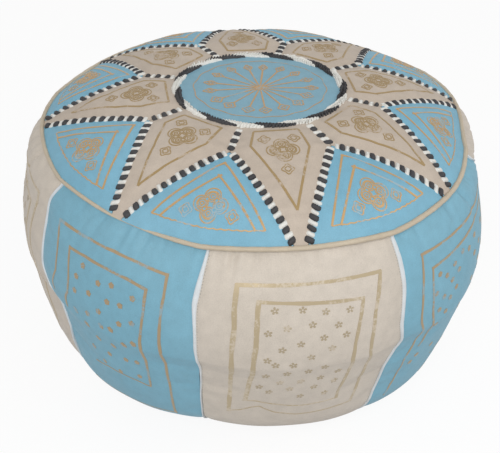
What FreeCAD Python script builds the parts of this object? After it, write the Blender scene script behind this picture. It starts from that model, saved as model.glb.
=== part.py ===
"""Round laced leather pouf: star-patchwork top, puffed side panels, zipped base and stuffing."""
import FreeCAD
import Part
import Sketcher
import math
import operator
import os

Vector = FreeCAD.Vector

# Counts and angles of the cut: eight star points, each with a side panel below it
PANELS = 8
STEP = 360.0 / PANELS
HALF = STEP / 2
COS_HALF = math.cos(math.radians(HALF))
SIN_HALF = math.sin(math.radians(HALF))
FRONT = -90.0
BRAID_COUNT = 9

# Driving sizes in millimetres
SIZES = {
    "rim_radius": (244, "middle of the piping round the top"),
    "rim_height": (296, "height of that piping"),
    "crown_rise": (46, "rise of the crown's middle over the piping"),
    "star_shoulder_radius": (138, "where neighbouring star points part"),
    "crown_shoulder_drop": (7, "fall of the crown from its middle to the star shoulders"),
    "bulge_radius": (267, "side panel where it swells out below the piping"),
    "bulge_height": (249, "height of that swelling"),
    "crease_radius": (278, "sitting crease, the widest part of a side panel"),
    "crease_height": (170, "height of the sitting crease"),
    "waist_radius": (267, "flat of the panel under the crease"),
    "waist_height": (122, "height of that flat"),
    "heel_radius": (253, "roll of the panel above the floor"),
    "heel_height": (70, "height of that roll"),
    "turn_radius": (231, "panel turning under to its foot"),
    "turn_height": (28, "height of that turn"),
    "foot_radius": (180, "bottom edge of a side panel on the floor"),
    "puff_offset": (30, "how far the axis of a puffed side panel stands off the middle"),
    "leather": (2, "thickness of the cover leather"),
    "clearance": (0.3, "gap between sewn pieces"),
    "medallion_radius": (92, "seam between the medallion and the star"),
    "star_tip_width": (14, "width of a star point at the rim"),
    "braid_width": (9, "width of the plaited edging"),
    "braid_height": (4, "height of the plaited edging"),
    "stitch_length": (10, "lacing stitch across its seam"),
    "stitch_width": (4.6, "lacing stitch along its seam"),
    "stitch_pitch": (5.3, "lacing stitch to stitch"),
    "stitch_height": (2.6, "lacing above the leather"),
    "piping_radius": (3.4, "outer radius of the rolled edge"),
    "piping_leather": (0.8, "half thickness of its sewn flange"),
    "piping_flange": (12, "sewn flange of the rolled edge"),
    "welt_thick": (3, "thickness of a side welt"),
    "welt_proud": (2, "welt above the leather of its seam"),
    "welt_depth": (8, "welt across, from its edge inward"),
    "base_recess": (14, "rise of the zip plane above the floor"),
    "base_flat_radius": (136, "raised flat middle of the base"),
    "base_ring_inner": (154, "inner edge of the ring that stands on the floor"),
    "zip_length": (230, "run of the zip between its end stops"),
    "zip_slot": (14, "opening between the base halves along the zip"),
    "tape_width": (16, "one zip tape"),
    "tape_thick": (0.8, "thickness of a zip tape"),
    "tape_tail": (12, "tape past the end stops"),
    "tooth_pitch": (4, "tooth to tooth on one tape"),
    "tooth_width": (1.6, "tooth along the zip"),
    "tooth_reach": (2.6, "tooth from the middle line over its tape"),
    "tooth_hook": (1, "tooth past the middle line"),
    "tooth_thick": (3, "tooth across the tape plane"),
    "stop_length": (3, "end stop along the zip"),
    "slider_length": (12, "slider along the zip"),
    "slider_width": (9.4, "slider across the zip"),
    "slider_height": (6, "slider across the tape plane"),
    "slider_nose": (3, "closed nose with the dividing wedge"),
    "wedge_half": (1, "half width of the dividing wedge"),
    "bail_width": (2.4, "loop that holds the pull tab"),
    "bail_wall": (1.2, "wall of the loop"),
    "bail_opening": (3, "clear opening of the loop"),
    "pull_length": (18, "pull tab from its bar to its tip"),
    "pull_width": (7, "pull tab across"),
    "pull_thick": (1.6, "thickness of the pull tab"),
    "pull_bar_radius": (0.9, "bar of the pull tab in the loop"),
}


class Size:
    """A length that keeps its number together with the sheet formula behind it."""

    def __init__(self, number, formula):
        self.number = number
        self.formula = formula

    def __add__(self, other):
        return combine(self, "+", other, operator.add)

    def __sub__(self, other):
        return combine(self, "-", other, operator.sub)

    def __mul__(self, other):
        return combine(self, "*", other, operator.mul)

    def __truediv__(self, other):
        return combine(self, "/", other, operator.truediv)

    def __neg__(self):
        return combine(fixed(0), "-", self, operator.sub)


def fixed(number):
    """A plain number as a size."""
    return Size(float(number), f"{float(number):.9f}")


def combine(left, sign, right, work):
    """Two sizes, or a size and a number, joined by one arithmetic sign."""
    if not isinstance(right, Size):
        right = fixed(right)
    return Size(work(left.number, right.number), f"({left.formula} {sign} {right.formula})")


# Sheet of driving sizes
doc = FreeCAD.newDocument("pouf")
sheet = doc.addObject("Spreadsheet::Sheet", "sizes")
for row, (alias, (number, meaning)) in enumerate(SIZES.items(), start=1):
    sheet.set(f"A{row}", str(number))
    sheet.setAlias(f"A{row}", alias)
    sheet.set(f"B{row}", meaning)
doc.recompute()


def size(alias):
    """A driving size as the sheet holds it."""
    return Size(float(sheet.get(alias)), f"sizes.{alias}")


def bind(item, path, value):
    """Tie one property of an object to its sheet formula."""
    item.setExpression(path, value.formula)


# Sketch, body and placement helpers
def end_near(sketch, index, point):
    """Which end of a sketch edge lies at a point."""
    edge = sketch.Geometry[index]
    first = (edge.StartPoint - point).Length
    last = (edge.EndPoint - point).Length
    return 1 if first <= last else 2


def arc_through(start, middle, finish):
    """Arc by three points, always drawn anticlockwise."""
    if (middle - start).cross(finish - start).z < 0:
        return Part.Arc(finish, middle, start)
    return Part.Arc(start, middle, finish)


def hold(sketch, index, end, corner):
    """Dimension one point of the sketch from the origin, both ways."""
    for direction, value in zip(("DistanceX", "DistanceY"), corner):
        number = sketch.addConstraint(Sketcher.Constraint(direction, index, end, value.number))
        sketch.setExpression(f"Constraints[{number}]", value.formula)


def draw(sketch, corners, bulges=None, smooth=(), centred=()):
    """Closed outline through the corners; bulges name the point an edge's arc passes through.

    A smooth edge runs on from the edge before it without a kink, and a centred edge has its arc
    centre on the upright axis. The bulge of either, and of the edge before a smooth one, is only
    where the arc starts from.
    """
    bulges = bulges or {}
    points = [Vector(x.number, y.number, 0) for x, y in corners]
    count = len(points)
    edges = []
    for step, start in enumerate(points):
        finish = points[(step + 1) % count]
        if step in bulges:
            middle = Vector(bulges[step][0].number, bulges[step][1].number, 0)
            edge = arc_through(start, middle, finish)
        else:
            edge = Part.LineSegment(start, finish)
        edges.append(sketch.addGeometry(edge, False))
    ends = []
    for step, index in enumerate(edges):
        start = end_near(sketch, index, points[step])
        ends.append((start, 3 - start))
    free = set(centred) | set(smooth) | {step - 1 for step in smooth}
    for step, index in enumerate(edges):
        before = edges[step - 1]
        kind = "Tangent" if step in smooth else "Coincident"
        joint = Sketcher.Constraint(kind, before, ends[step - 1][1], index, ends[step][0])
        sketch.addConstraint(joint)
        hold(sketch, index, ends[step][0], corners[step])
        if step in centred:
            sketch.addConstraint(Sketcher.Constraint("PointOnObject", index, 3, -2))
        if step in bulges and step not in free:
            middle = Vector(bulges[step][0].number, bulges[step][1].number, 0)
            mark = sketch.addGeometry(Part.Point(middle), True)
            hold(sketch, mark, 1, bulges[step])
            sketch.addConstraint(Sketcher.Constraint("PointOnObject", mark, 1, index))


def draw_ring(sketch, centre, radius):
    """A full circle with its centre dimensioned from the origin."""
    middle = Vector(centre[0].number, centre[1].number, 0)
    index = sketch.addGeometry(Part.Circle(middle, Vector(0, 0, 1), radius.number), False)
    hold(sketch, index, 3, centre)
    number = sketch.addConstraint(Sketcher.Constraint("Radius", index, radius.number))
    sketch.setExpression(f"Constraints[{number}]", radius.formula)


def rectangle(left, right, low, high):
    """The four corners of an upright rectangle."""
    return [(left, low), (right, low), (right, high), (left, high)]


def new_body(name):
    """An empty body."""
    body = doc.addObject("PartDesign::Body", name)
    body.Label = name
    return body


def plane_sketch(body, name, role):
    """A sketch of a body on one of its own origin planes."""
    sketch = body.newObject("Sketcher::SketchObject", name)
    plane = [item for item in body.Origin.OriginFeatures if item.Role == role][0]
    sketch.AttachmentSupport = [(plane, "")]
    sketch.MapMode = "FlatFace"
    return sketch


def revolve(body, sketch, angle):
    """Turn a profile round the upright axis."""
    feature = body.newObject("PartDesign::Revolution", sketch.Name + "Turn")
    feature.Profile = sketch
    feature.ReferenceAxis = (sketch, ["V_Axis"])
    feature.Angle = angle
    body.Tip = feature
    return feature


def turned(name, sketch):
    """A full turn of an upright free sketch round the upright axis."""
    feature = doc.addObject("Part::Revolution", name)
    feature.Source = sketch
    feature.Axis = Vector(0, 0, 1)
    feature.Angle = 360
    feature.Solid = True
    return feature


def pad(body, sketch, length):
    """Thicken a profile evenly to both sides of its plane."""
    feature = body.newObject("PartDesign::Pad", sketch.Name + "Pad")
    feature.Profile = sketch
    feature.Midplane = True
    bind(feature, "Length", length)
    body.Tip = feature
    return feature


def pocket(body, sketch, length, back=False):
    """Cut a profile into a body to a depth."""
    feature = body.newObject("PartDesign::Pocket", sketch.Name + "Cut")
    feature.Profile = sketch
    feature.Reversed = back
    bind(feature, "Length", length)
    body.Tip = feature
    return feature


def upright_sketch(name, angle=0.0):
    """A free sketch in the upright plane that stands at an angle round the axis."""
    sketch = doc.addObject("Sketcher::SketchObject", name)
    upright = FreeCAD.Rotation(Vector(0, 0, 1), angle) * FreeCAD.Rotation(Vector(1, 0, 0), 90)
    sketch.Placement = FreeCAD.Placement(Vector(0, 0, 0), upright)
    return sketch


def turn(angle):
    """Placement turned round the upright axis."""
    return FreeCAD.Placement(Vector(0, 0, 0), FreeCAD.Rotation(Vector(0, 0, 1), angle))


def lift(item, height):
    """Set an object's height from the sheet."""
    bind(item, "Placement.Base.z", height)


nodes = []


def node(item, label):
    """List an object as one piece of the pouf."""
    item.Label = label
    nodes.append(item)
    return item


# Shared lines of the cut
leather = size("leather")
clearance = size("clearance")
rim_radius = size("rim_radius")
rim_height = size("rim_height")
crown_height = rim_height + size("crown_rise")
shoulder = size("star_shoulder_radius")
shoulder_drop = size("crown_shoulder_drop")
piping_radius = size("piping_radius")
piping_leather = size("piping_leather")
foot_radius = size("foot_radius")
edge_radius = rim_radius - piping_radius - clearance
flange_inner = rim_radius - size("piping_flange")
crown_edge_height = rim_height + piping_leather + clearance
side_edge_height = rim_height - piping_leather - clearance
EDGE_SLANT = 1.7


class Crown:
    """Section of the top: a wide cap over the star shoulders and a tighter arc down to the rim."""

    def __init__(self, apex, bend, edge):
        self.apex = apex
        self.bend = bend
        drop = apex - bend[1]
        self.cap_radius = (bend[0] ** 2 + drop ** 2) / (2 * drop)
        self.bend_slope = math.asin(bend[0] / self.cap_radius)
        run = edge[0] - bend[0]
        fall = bend[1] - edge[1]
        end_slope = 2 * math.atan2(fall, run) - self.bend_slope
        self.arc_radius = run / (math.sin(end_slope) - math.sin(self.bend_slope))
        self.arc_centre = (bend[0] - self.arc_radius * math.sin(self.bend_slope),
                           bend[1] - self.arc_radius * math.cos(self.bend_slope))

    def slope(self, radius):
        """Fall of the surface at a radius, in radians."""
        if radius <= self.bend[0]:
            return math.asin(radius / self.cap_radius)
        return math.asin((radius - self.arc_centre[0]) / self.arc_radius)

    def height(self, radius):
        """Height of the surface at a radius."""
        if radius <= self.bend[0]:
            return self.apex - self.cap_radius * (1 - math.cos(self.slope(radius)))
        return self.arc_centre[1] + self.arc_radius * math.cos(self.slope(radius))


crown = Crown(crown_height.number,
              (shoulder.number, crown_height.number - shoulder_drop.number),
              (edge_radius.number, crown_edge_height.number))


CROWN_RUNS = 4
SECTION_START = 0.9


def crown_line(sink, edge):
    """Section of the crown leather from inside the medallion's edge to the rim, in straight runs."""
    inside = size("medallion_radius") * SECTION_START
    points = [(inside, fixed(crown.height(inside.number)) - sink),
              (shoulder, crown_height - shoulder_drop - sink)]
    shape = Crown(crown_height.number - sink.number,
                  (shoulder.number, crown_height.number - shoulder_drop.number - sink.number),
                  (edge[0].number, edge[1].number))
    for step in range(1, CROWN_RUNS):
        radius = shoulder + (edge[0] - shoulder) * (step / CROWN_RUNS)
        points.append((radius, fixed(shape.height(radius.number))))
    return points + [edge]


# Crown leather in one turned shell, from which the pieces of the top are cut
crown_sketch = upright_sketch("crown_section")
outer = crown_line(fixed(0), (edge_radius, crown_edge_height))
inner = crown_line(leather, (edge_radius - leather * EDGE_SLANT, crown_edge_height))
draw(crown_sketch, inner + outer[::-1])
crown_leather = turned("crown_leather", crown_sketch)


def crown_seat(radius):
    """Height of the crown leather at a radius, and its fall there in radians."""
    for start, finish in zip(outer, outer[1:]):
        if radius <= finish[0].number:
            break
    fall = (start[1] - finish[1]).number / (finish[0] - start[0]).number
    return start[1].number - fall * (radius - start[0].number), math.atan(fall)


def flat_sketch(name, angle):
    """A sketch in the ground plane, turned round the upright axis."""
    sketch = doc.addObject("Sketcher::SketchObject", name)
    sketch.Placement = turn(angle)
    return sketch


def cut_from_crown(label, sketch):
    """The piece of the crown leather that stands over a flat outline."""
    block = doc.addObject("Part::Extrusion", label + "_block")
    block.Base = sketch
    block.DirMode = "Normal"
    block.Solid = True
    bind(block, "LengthFwd", crown_height + 10)
    piece = doc.addObject("Part::Common", label)
    piece.Base = crown_leather
    piece.Tool = block
    return node(piece, label)


# Medallion: a flat disc let into the middle of the crown, level with the star's inner edge
star_inner = size("medallion_radius") + clearance
star_edge_drop = shoulder_drop * star_inner * star_inner / (shoulder * shoulder)
medallion = doc.addObject("Part::Cylinder", "medallion")
bind(medallion, "Radius", size("medallion_radius"))
bind(medallion, "Height", leather)
lift(medallion, crown_height - star_edge_drop - leather)
node(medallion, "medallion")

# Star points: inner arc, straight sides to the shoulders, long sides to the rim
tip_half = size("star_tip_width") / 2
for number in range(PANELS):
    outline = flat_sketch(f"star_outline_{number + 1}", FRONT + number * STEP)
    draw(outline,
         [(star_inner * COS_HALF, -star_inner * SIN_HALF),
          (shoulder * COS_HALF, -shoulder * SIN_HALF),
          (rim_radius, -tip_half),
          (rim_radius, tip_half),
          (shoulder * COS_HALF, shoulder * SIN_HALF),
          (star_inner * COS_HALF, star_inner * SIN_HALF)],
         {5: (star_inner, fixed(0))})
    cut_from_crown(f"star_point_{number + 1}", outline)

# Rim gores: triangles between the star points, with their base on the rim
gore_x = rim_radius * COS_HALF + tip_half * SIN_HALF
gore_y = rim_radius * SIN_HALF - tip_half * COS_HALF
for number in range(PANELS):
    outline = flat_sketch(f"gore_outline_{number + 1}", FRONT + HALF + number * STEP)
    draw(outline,
         [(shoulder, fixed(0)), (gore_x, -gore_y), (gore_x, gore_y)],
         {1: (rim_radius + 1, fixed(0))})
    cut_from_crown(f"rim_gore_{number + 1}", outline)

# Plaited edging over the medallion seam, in short lengths of two colours by turns
braid_middle = size("medallion_radius")
braid_half = size("braid_width") / 2
braid_seat = crown_height - star_edge_drop + clearance
braid_top = braid_seat + size("braid_height")
BRAID_STEP = 360.0 / BRAID_COUNT
BRAID_GAP = 0.5
for colour, start in (("black", 0.0), ("white", BRAID_STEP / 2)):
    body = new_body(f"medallion_braid_{colour}")
    body.AllowCompound = True
    section = plane_sketch(body, f"braid_section_{colour}", "XZ_Plane")
    draw(section,
         [(braid_middle - braid_half, braid_seat),
          (braid_middle + braid_half, braid_seat),
          (braid_middle + braid_half * 0.5, braid_top),
          (braid_middle - braid_half * 0.5, braid_top)])
    length = revolve(body, section, BRAID_STEP / 2 - BRAID_GAP)
    pattern = body.newObject("PartDesign::PolarPattern", f"braid_lengths_{colour}")
    pattern.Originals = [length]
    pattern.Axis = (section, ["V_Axis"])
    pattern.Angle = 360
    pattern.Occurrences = BRAID_COUNT
    body.Tip = pattern
    body.Placement = turn(start)
    node(body, f"medallion_braid_{colour}")

# Lacing: flat-topped whip stitches over every star seam, black and white by turns
STITCH_SLANT = 22.0


def stitch_solid(length, width, height):
    """One stitch along X over the origin, bevelled at the top."""
    section = [(-width / 2, 0), (width / 2, 0), (width * 0.3, height), (-width * 0.3, height)]
    points = [Vector(-length / 2, y, z) for y, z in section]
    face = Part.Face(Part.makePolygon(points + points[:1]))
    return face.extrude(Vector(length, 0, 0))


def stitch_row(start, finish, slant):
    """Placements of the stitches along one straight seam, given in plan."""
    run = finish - start
    count = max(2, int(run.Length / size("stitch_pitch").number))
    along = Vector(run).normalize()
    places = []
    for step in range(count):
        spot = start + run * ((step + 0.5) / count)
        radius = math.hypot(spot.x, spot.y)
        outward = Vector(spot.x, spot.y, 0).normalize()
        height, slope = crown_seat(radius)
        normal = outward * math.sin(slope) + Vector(0, 0, math.cos(slope))
        across = normal.cross(along).normalize()
        flat = FreeCAD.Rotation(across, normal.cross(across), normal, "ZXY")
        spot.z = height
        base = spot + normal * clearance.number
        places.append(FreeCAD.Placement(base, flat * FreeCAD.Rotation(Vector(0, 0, 1), slant)))
    return places


def seam_rows():
    """Every seam of the star: short ones between points, long ones along the gores."""
    corner = Vector(shoulder.number * COS_HALF, shoulder.number * SIN_HALF, 0)
    tip = Vector(rim_radius.number, tip_half.number, 0)
    side = Vector(tip - corner).normalize()
    reach = size("stitch_length").number
    low_start = corner + side * (0.75 * reach)
    low_finish = tip - side * (1.2 * reach)
    ray = Vector(COS_HALF, SIN_HALF, 0)
    top_start = ray * ((braid_middle + braid_half).number + 0.25 * reach)
    top_finish = corner - ray * (0.45 * reach)
    for number in range(PANELS):
        spin = turn(FRONT + number * STEP)
        yield spin.multVec(top_start), spin.multVec(top_finish), STITCH_SLANT
        yield spin.multVec(low_start), spin.multVec(low_finish), STITCH_SLANT
        mirrored = [Vector(point.x, -point.y, 0) for point in (low_start, low_finish)]
        yield spin.multVec(mirrored[0]), spin.multVec(mirrored[1]), -STITCH_SLANT


one_stitch = stitch_solid(size("stitch_length").number, size("stitch_width").number,
                          size("stitch_height").number)
stitches = {"black": [], "white": []}
for start, finish, slant in seam_rows():
    for step, place in enumerate(stitch_row(start, finish, slant)):
        stitch = one_stitch.copy()
        stitch.Placement = place
        stitches[("black", "white")[step % 2]].append(stitch)
for colour, solids in stitches.items():
    lacing = doc.addObject("Part::Feature", f"star_lacing_{colour}")
    lacing.Shape = Part.makeCompound(solids)
    node(lacing, f"star_lacing_{colour}")

# Rolled leather edge with its sewn flange between the top and the side
piping_body = new_body("rim_piping")
piping_sketch = plane_sketch(piping_body, "piping_section", "XZ_Plane")
piping_root = rim_radius - piping_radius * 0.8
ROLL_ANGLES = (-120, -72, -24, 24, 72, 120)
roll = [(rim_radius + piping_radius * math.cos(math.radians(angle)),
         rim_height + piping_radius * math.sin(math.radians(angle))) for angle in ROLL_ANGLES]
draw(piping_sketch,
     [(piping_root, rim_height + piping_leather), (flange_inner, rim_height + piping_leather),
      (flange_inner, rim_height - piping_leather), (piping_root, rim_height - piping_leather)]
     + roll)
revolve(piping_body, piping_sketch, 360)
node(piping_body, "rim_piping")


# Side panels: swollen below the piping, folded at the sitting crease and rolled under to the floor
def side_line(draw_in):
    """Corners of a side section, drawn in at a seam, and the points its arcs swell or sink through."""
    corners = [(edge_radius - draw_in, side_edge_height),
               (size("crease_radius") - draw_in, size("crease_height")),
               (size("heel_radius") - draw_in, size("heel_height")),
               (foot_radius - draw_in, fixed(0))]
    swells = [(size("bulge_radius") - draw_in, size("bulge_height")),
              (size("waist_radius") - draw_in, size("waist_height")),
              (size("turn_radius") - draw_in, size("turn_height"))]
    return corners, swells


def inward(point, amount):
    """A section point moved toward the axis."""
    return point[0] - amount, point[1]


SIDE_RUNS = 3


def in_runs(corners, swells):
    """A section line with each of its arcs laid out in straight runs."""
    line = [corners[0]]
    for start, swell, finish in zip(corners, swells, corners[1:]):
        ends = [Vector(x.number, y.number, 0) for x, y in (start, swell, finish)]
        spots = Part.Arc(*ends).toShape().discretize(SIDE_RUNS + 1)
        if (spots[0] - ends[0]).Length > (spots[-1] - ends[0]).Length:
            spots.reverse()
        line += [(fixed(spot.x), fixed(spot.y)) for spot in spots[1:-1]]
        line.append(finish)
    return line


def strip(sketch, corners, swells, thick):
    """Closed band along a side section, thickened toward the axis."""
    line = in_runs(corners, swells)
    draw(sketch, line + [inward(point, thick) for point in line[::-1]])


puff_offset = size("puff_offset")
PUFF_TURN = 64.0
seam_gap = size("welt_thick") / 2 + clearance
wedge_far = size("crease_radius") + 20
side_corners, side_swells = side_line(fixed(0))
for number in range(PANELS):
    middle = FRONT + number * STEP
    section = upright_sketch(f"side_section_{number + 1}", middle)
    strip(section, side_corners, side_swells, leather)
    puffed = doc.addObject("Part::Revolution", f"side_puffed_{number + 1}")
    puffed.Source = section
    puffed.Axis = Vector(0, 0, 1)
    puffed.Angle = PUFF_TURN
    puffed.Symmetric = True
    puffed.Solid = True
    bind(puffed, "Base.x", puff_offset * math.cos(math.radians(middle)))
    bind(puffed, "Base.y", puff_offset * math.sin(math.radians(middle)))
    outline = flat_sketch(f"side_outline_{number + 1}", middle)
    wedge_side = wedge_far * (SIN_HALF / COS_HALF) - seam_gap / COS_HALF
    draw(outline, [(seam_gap / SIN_HALF, fixed(0)), (wedge_far, -wedge_side), (wedge_far, wedge_side)])
    block = doc.addObject("Part::Extrusion", f"side_block_{number + 1}")
    block.Base = outline
    block.DirMode = "Normal"
    block.Solid = True
    bind(block, "LengthFwd", rim_height)
    panel = doc.addObject("Part::Common", f"side_panel_{number + 1}")
    panel.Base = puffed
    panel.Tool = block
    node(panel, f"side_panel_{number + 1}")

# Welts: flat leather strips standing in the side seams, proud of the panels
proud = size("welt_proud")
depth = size("welt_depth")
puff_radius = size("crease_radius") - puff_offset
seam_draw = (puff_offset * (1 - COS_HALF)
             + puff_offset * puff_offset * (SIN_HALF ** 2 / 2) / puff_radius)
seam_corners, seam_swells = side_line(seam_draw - proud)
seam_corners[0] = inward(seam_corners[0], proud)
seam_corners[-1] = (seam_corners[-1][0], leather + clearance * 2)
for number in range(PANELS):
    body = new_body(f"side_welt_{number + 1}")
    outline = plane_sketch(body, f"welt_outline_{number + 1}", "XZ_Plane")
    strip(outline, seam_corners, seam_swells, depth)
    pad(body, outline, size("welt_thick"))
    body.Placement = turn(FRONT + HALF + number * STEP)
    node(body, f"side_welt_{number + 1}")

# Base halves: a standing ring at the floor and a raised middle that keeps the zip off the ground
base_recess = size("base_recess")
base_flat = size("base_flat_radius")
base_ring = size("base_ring_inner")
base_edge = foot_radius - leather - clearance
base_puff = base_edge - puff_offset
base_draw = (puff_offset * (1 - COS_HALF)
             + puff_offset * puff_offset * (SIN_HALF ** 2 / 2) / base_puff)
base_outline = flat_sketch("base_outline", FRONT)
base_corners = []
base_bulges = {}
for number in range(PANELS):
    seam = math.radians(number * STEP + HALF)
    middle = math.radians(number * STEP + STEP)
    base_corners.append(((base_edge - base_draw) * math.cos(seam), (base_edge - base_draw) * math.sin(seam)))
    base_bulges[number] = (base_edge * math.cos(middle), base_edge * math.sin(middle))
draw(base_outline, base_corners, base_bulges)
base_block = doc.addObject("Part::Extrusion", "base_block")
base_block.Base = base_outline
base_block.DirMode = "Normal"
base_block.Solid = True
bind(base_block, "LengthFwd", base_recess * 2)
zip_length = size("zip_length")
zip_slot = size("zip_slot")
slot_half = zip_length / 2 + size("stop_length") + clearance * 2
for name, angle in (("front", 180.0), ("back", 0.0)):
    body = new_body(f"base_half_{name}")
    section = plane_sketch(body, f"base_section_{name}", "XZ_Plane")
    draw(section,
         [(fixed(0), base_recess), (base_flat, base_recess), (base_ring, fixed(0)),
          (base_edge + 1, fixed(0)), (base_edge + 1, leather), (base_ring, leather),
          (base_flat, base_recess + leather), (fixed(0), base_recess + leather)])
    revolve(body, section, 180)
    doc.recompute()
    slot = plane_sketch(body, f"base_slot_{name}", "XY_Plane")
    draw(slot, rectangle(-slot_half, slot_half, fixed(-1), zip_slot / 2))
    pocket(body, slot, base_recess + leather * 2, back=True)
    body.Placement = turn(angle)
    half = doc.addObject("Part::Common", f"base_panel_{name}")
    half.Base = body
    half.Tool = base_block
    node(half, f"base_panel_{name}")

# Zip tapes on the inner side of the base halves
tape_seat = base_recess + leather + clearance
tape_middle = tape_seat + size("tape_thick") / 2
tape_half = zip_length / 2 + size("tape_tail")
tape_edge = size("tooth_hook") + clearance
for name, angle in (("front", 180.0), ("back", 0.0)):
    body = new_body(f"zip_tape_{name}")
    outline = plane_sketch(body, f"tape_outline_{name}", "XY_Plane")
    draw(outline, rectangle(-tape_half, tape_half, tape_edge, tape_edge + size("tape_width")))
    pad(body, outline, size("tape_thick"))
    body.Placement = turn(angle)
    lift(body, tape_middle)
    node(body, f"zip_tape_{name}")


# Zip teeth: hooked blocks clamped on each tape edge, the two rows half a pitch apart
def tooth_solid():
    """One tooth of the back row at the origin: a hook past the middle and two jaws on the tape."""
    width = size("tooth_width").number
    reach = size("tooth_reach").number
    hook = size("tooth_hook").number
    thick = size("tooth_thick").number
    tape = size("tape_thick").number + 2 * clearance.number
    jaw = tape_edge.number - clearance.number
    section = [(-hook, -thick / 2), (reach, -thick / 2), (reach, -tape / 2), (jaw, -tape / 2),
               (jaw, tape / 2), (reach, tape / 2), (reach, thick / 2), (-hook, thick / 2)]
    points = [Vector(-width / 2, y, z) for y, z in section]
    face = Part.Face(Part.makePolygon(points + points[:1]))
    return face.extrude(Vector(width, 0, 0))


NOSE_ROUND = 0.3
slider_length = size("slider_length")
slider_nose = size("slider_nose")
tooth_pitch = size("tooth_pitch").number
row_start = -zip_length.number / 2 + size("tooth_width").number
slider_place = zip_length / 2 - slider_length / 2 - slider_nose * NOSE_ROUND
wedge_start = slider_place + slider_length / 2 - slider_nose
row_finish = (wedge_start - clearance - size("tooth_width") / 2).number
one_tooth = tooth_solid()
for name, angle, shift in (("front", 180.0, 0.0), ("back", 0.0, tooth_pitch / 2)):
    count = int((row_finish - row_start - shift) / tooth_pitch) + 1
    teeth = []
    for step in range(count):
        along = row_start + shift + step * tooth_pitch
        tooth = one_tooth.copy()
        tooth.Placement = FreeCAD.Placement(Vector(along, 0, tape_middle.number),
                                            FreeCAD.Rotation(Vector(0, 0, 1), angle))
        teeth.append(tooth)
    row = doc.addObject("Part::Feature", f"zip_teeth_{name}")
    row.Shape = Part.makeCompound(teeth)
    node(row, f"zip_teeth_{name}")

# End stops: one block under both tapes at the open end, one at the closed end
stop_length = size("stop_length")
stops = []
for name, start in (("open", -zip_length / 2 - stop_length), ("closed", zip_length / 2 + clearance)):
    block = doc.addObject("Part::Box", f"zip_stop_{name}")
    bind(block, "Length", stop_length - clearance)
    bind(block, "Width", (tape_edge + size("tooth_reach")) * 2)
    bind(block, "Height", (size("tooth_thick") - size("tape_thick")) / 2)
    bind(block, "Placement.Base.x", start)
    bind(block, "Placement.Base.y", -(tape_edge + size("tooth_reach")))
    bind(block, "Placement.Base.z", tape_seat + size("tape_thick") + clearance)
    stops.append(block)
stop_pair = doc.addObject("Part::Compound", "zip_stops")
stop_pair.Links = stops
node(stop_pair, "zip_stops")

# Slider: two plates round the chain, joined by the wedge in the nose, with a loop below
slider_half = slider_length / 2
slider_width = size("slider_width")
slider_height = size("slider_height")
channel = size("tooth_reach") + clearance
channel_high = size("tooth_thick") / 2 + clearance
gap_high = size("tape_thick") / 2 + clearance
wedge = size("wedge_half")
wide = slider_width
slider_body = new_body("zip_slider")
block_sketch = plane_sketch(slider_body, "slider_block", "XY_Plane")
draw(block_sketch,
     [(-slider_half, -slider_width / 2), (slider_half, -slider_width / 2 * 0.7),
      (slider_half, slider_width / 2 * 0.7), (-slider_half, slider_width / 2)],
     {1: (slider_half + slider_nose * NOSE_ROUND, fixed(0))})
pad(slider_body, block_sketch, slider_height)
doc.recompute()
chain_sketch = plane_sketch(slider_body, "slider_channel", "YZ_Plane")
draw(chain_sketch,
     [(-wide, -gap_high), (-channel, -gap_high), (-channel, -channel_high),
      (channel, -channel_high), (channel, -gap_high), (wide, -gap_high),
      (wide, gap_high), (channel, gap_high), (channel, channel_high),
      (-channel, channel_high), (-channel, gap_high), (-wide, gap_high)])
chain_sketch.AttachmentOffset = FreeCAD.Placement(Vector(0, 0, 0), FreeCAD.Rotation())
bind(chain_sketch, "AttachmentOffset.Base.z", slider_half - slider_nose)
pocket(slider_body, chain_sketch, slider_length)
doc.recompute()
nose_sketch = plane_sketch(slider_body, "slider_nose_ways", "YZ_Plane")
for side in (1, -1):
    draw(nose_sketch,
         [(wedge * side, -channel_high), (channel * side, -channel_high),
          (channel * side, -gap_high), (wide * side, -gap_high),
          (wide * side, gap_high), (channel * side, gap_high),
          (channel * side, channel_high), (wedge * side, channel_high)])
bind(nose_sketch, "AttachmentOffset.Base.z", slider_half - slider_nose - 1)
pocket(slider_body, nose_sketch, slider_nose * 3, back=True)
doc.recompute()
bail_wall = size("bail_wall")
bail_clear = size("bail_opening")
bail_top = -slider_height / 2 + bail_wall * 0.2
bail_floor = -slider_height / 2 - bail_clear
bail_in = bail_clear / 2
bail_out = bail_in + bail_wall
bail_sketch = plane_sketch(slider_body, "slider_loop", "XZ_Plane")
draw(bail_sketch,
     [(-bail_out, bail_top), (-bail_in, bail_top), (-bail_in, bail_floor), (bail_in, bail_floor),
      (bail_in, bail_top), (bail_out, bail_top), (bail_out, bail_floor - bail_wall * 0.4),
      (bail_in, bail_floor - bail_wall), (-bail_in, bail_floor - bail_wall),
      (-bail_out, bail_floor - bail_wall * 0.4)])
pad(slider_body, bail_sketch, size("bail_width"))
bind(slider_body, "Placement.Base.x", slider_place)
lift(slider_body, tape_middle)
node(slider_body, "zip_slider")

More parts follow.
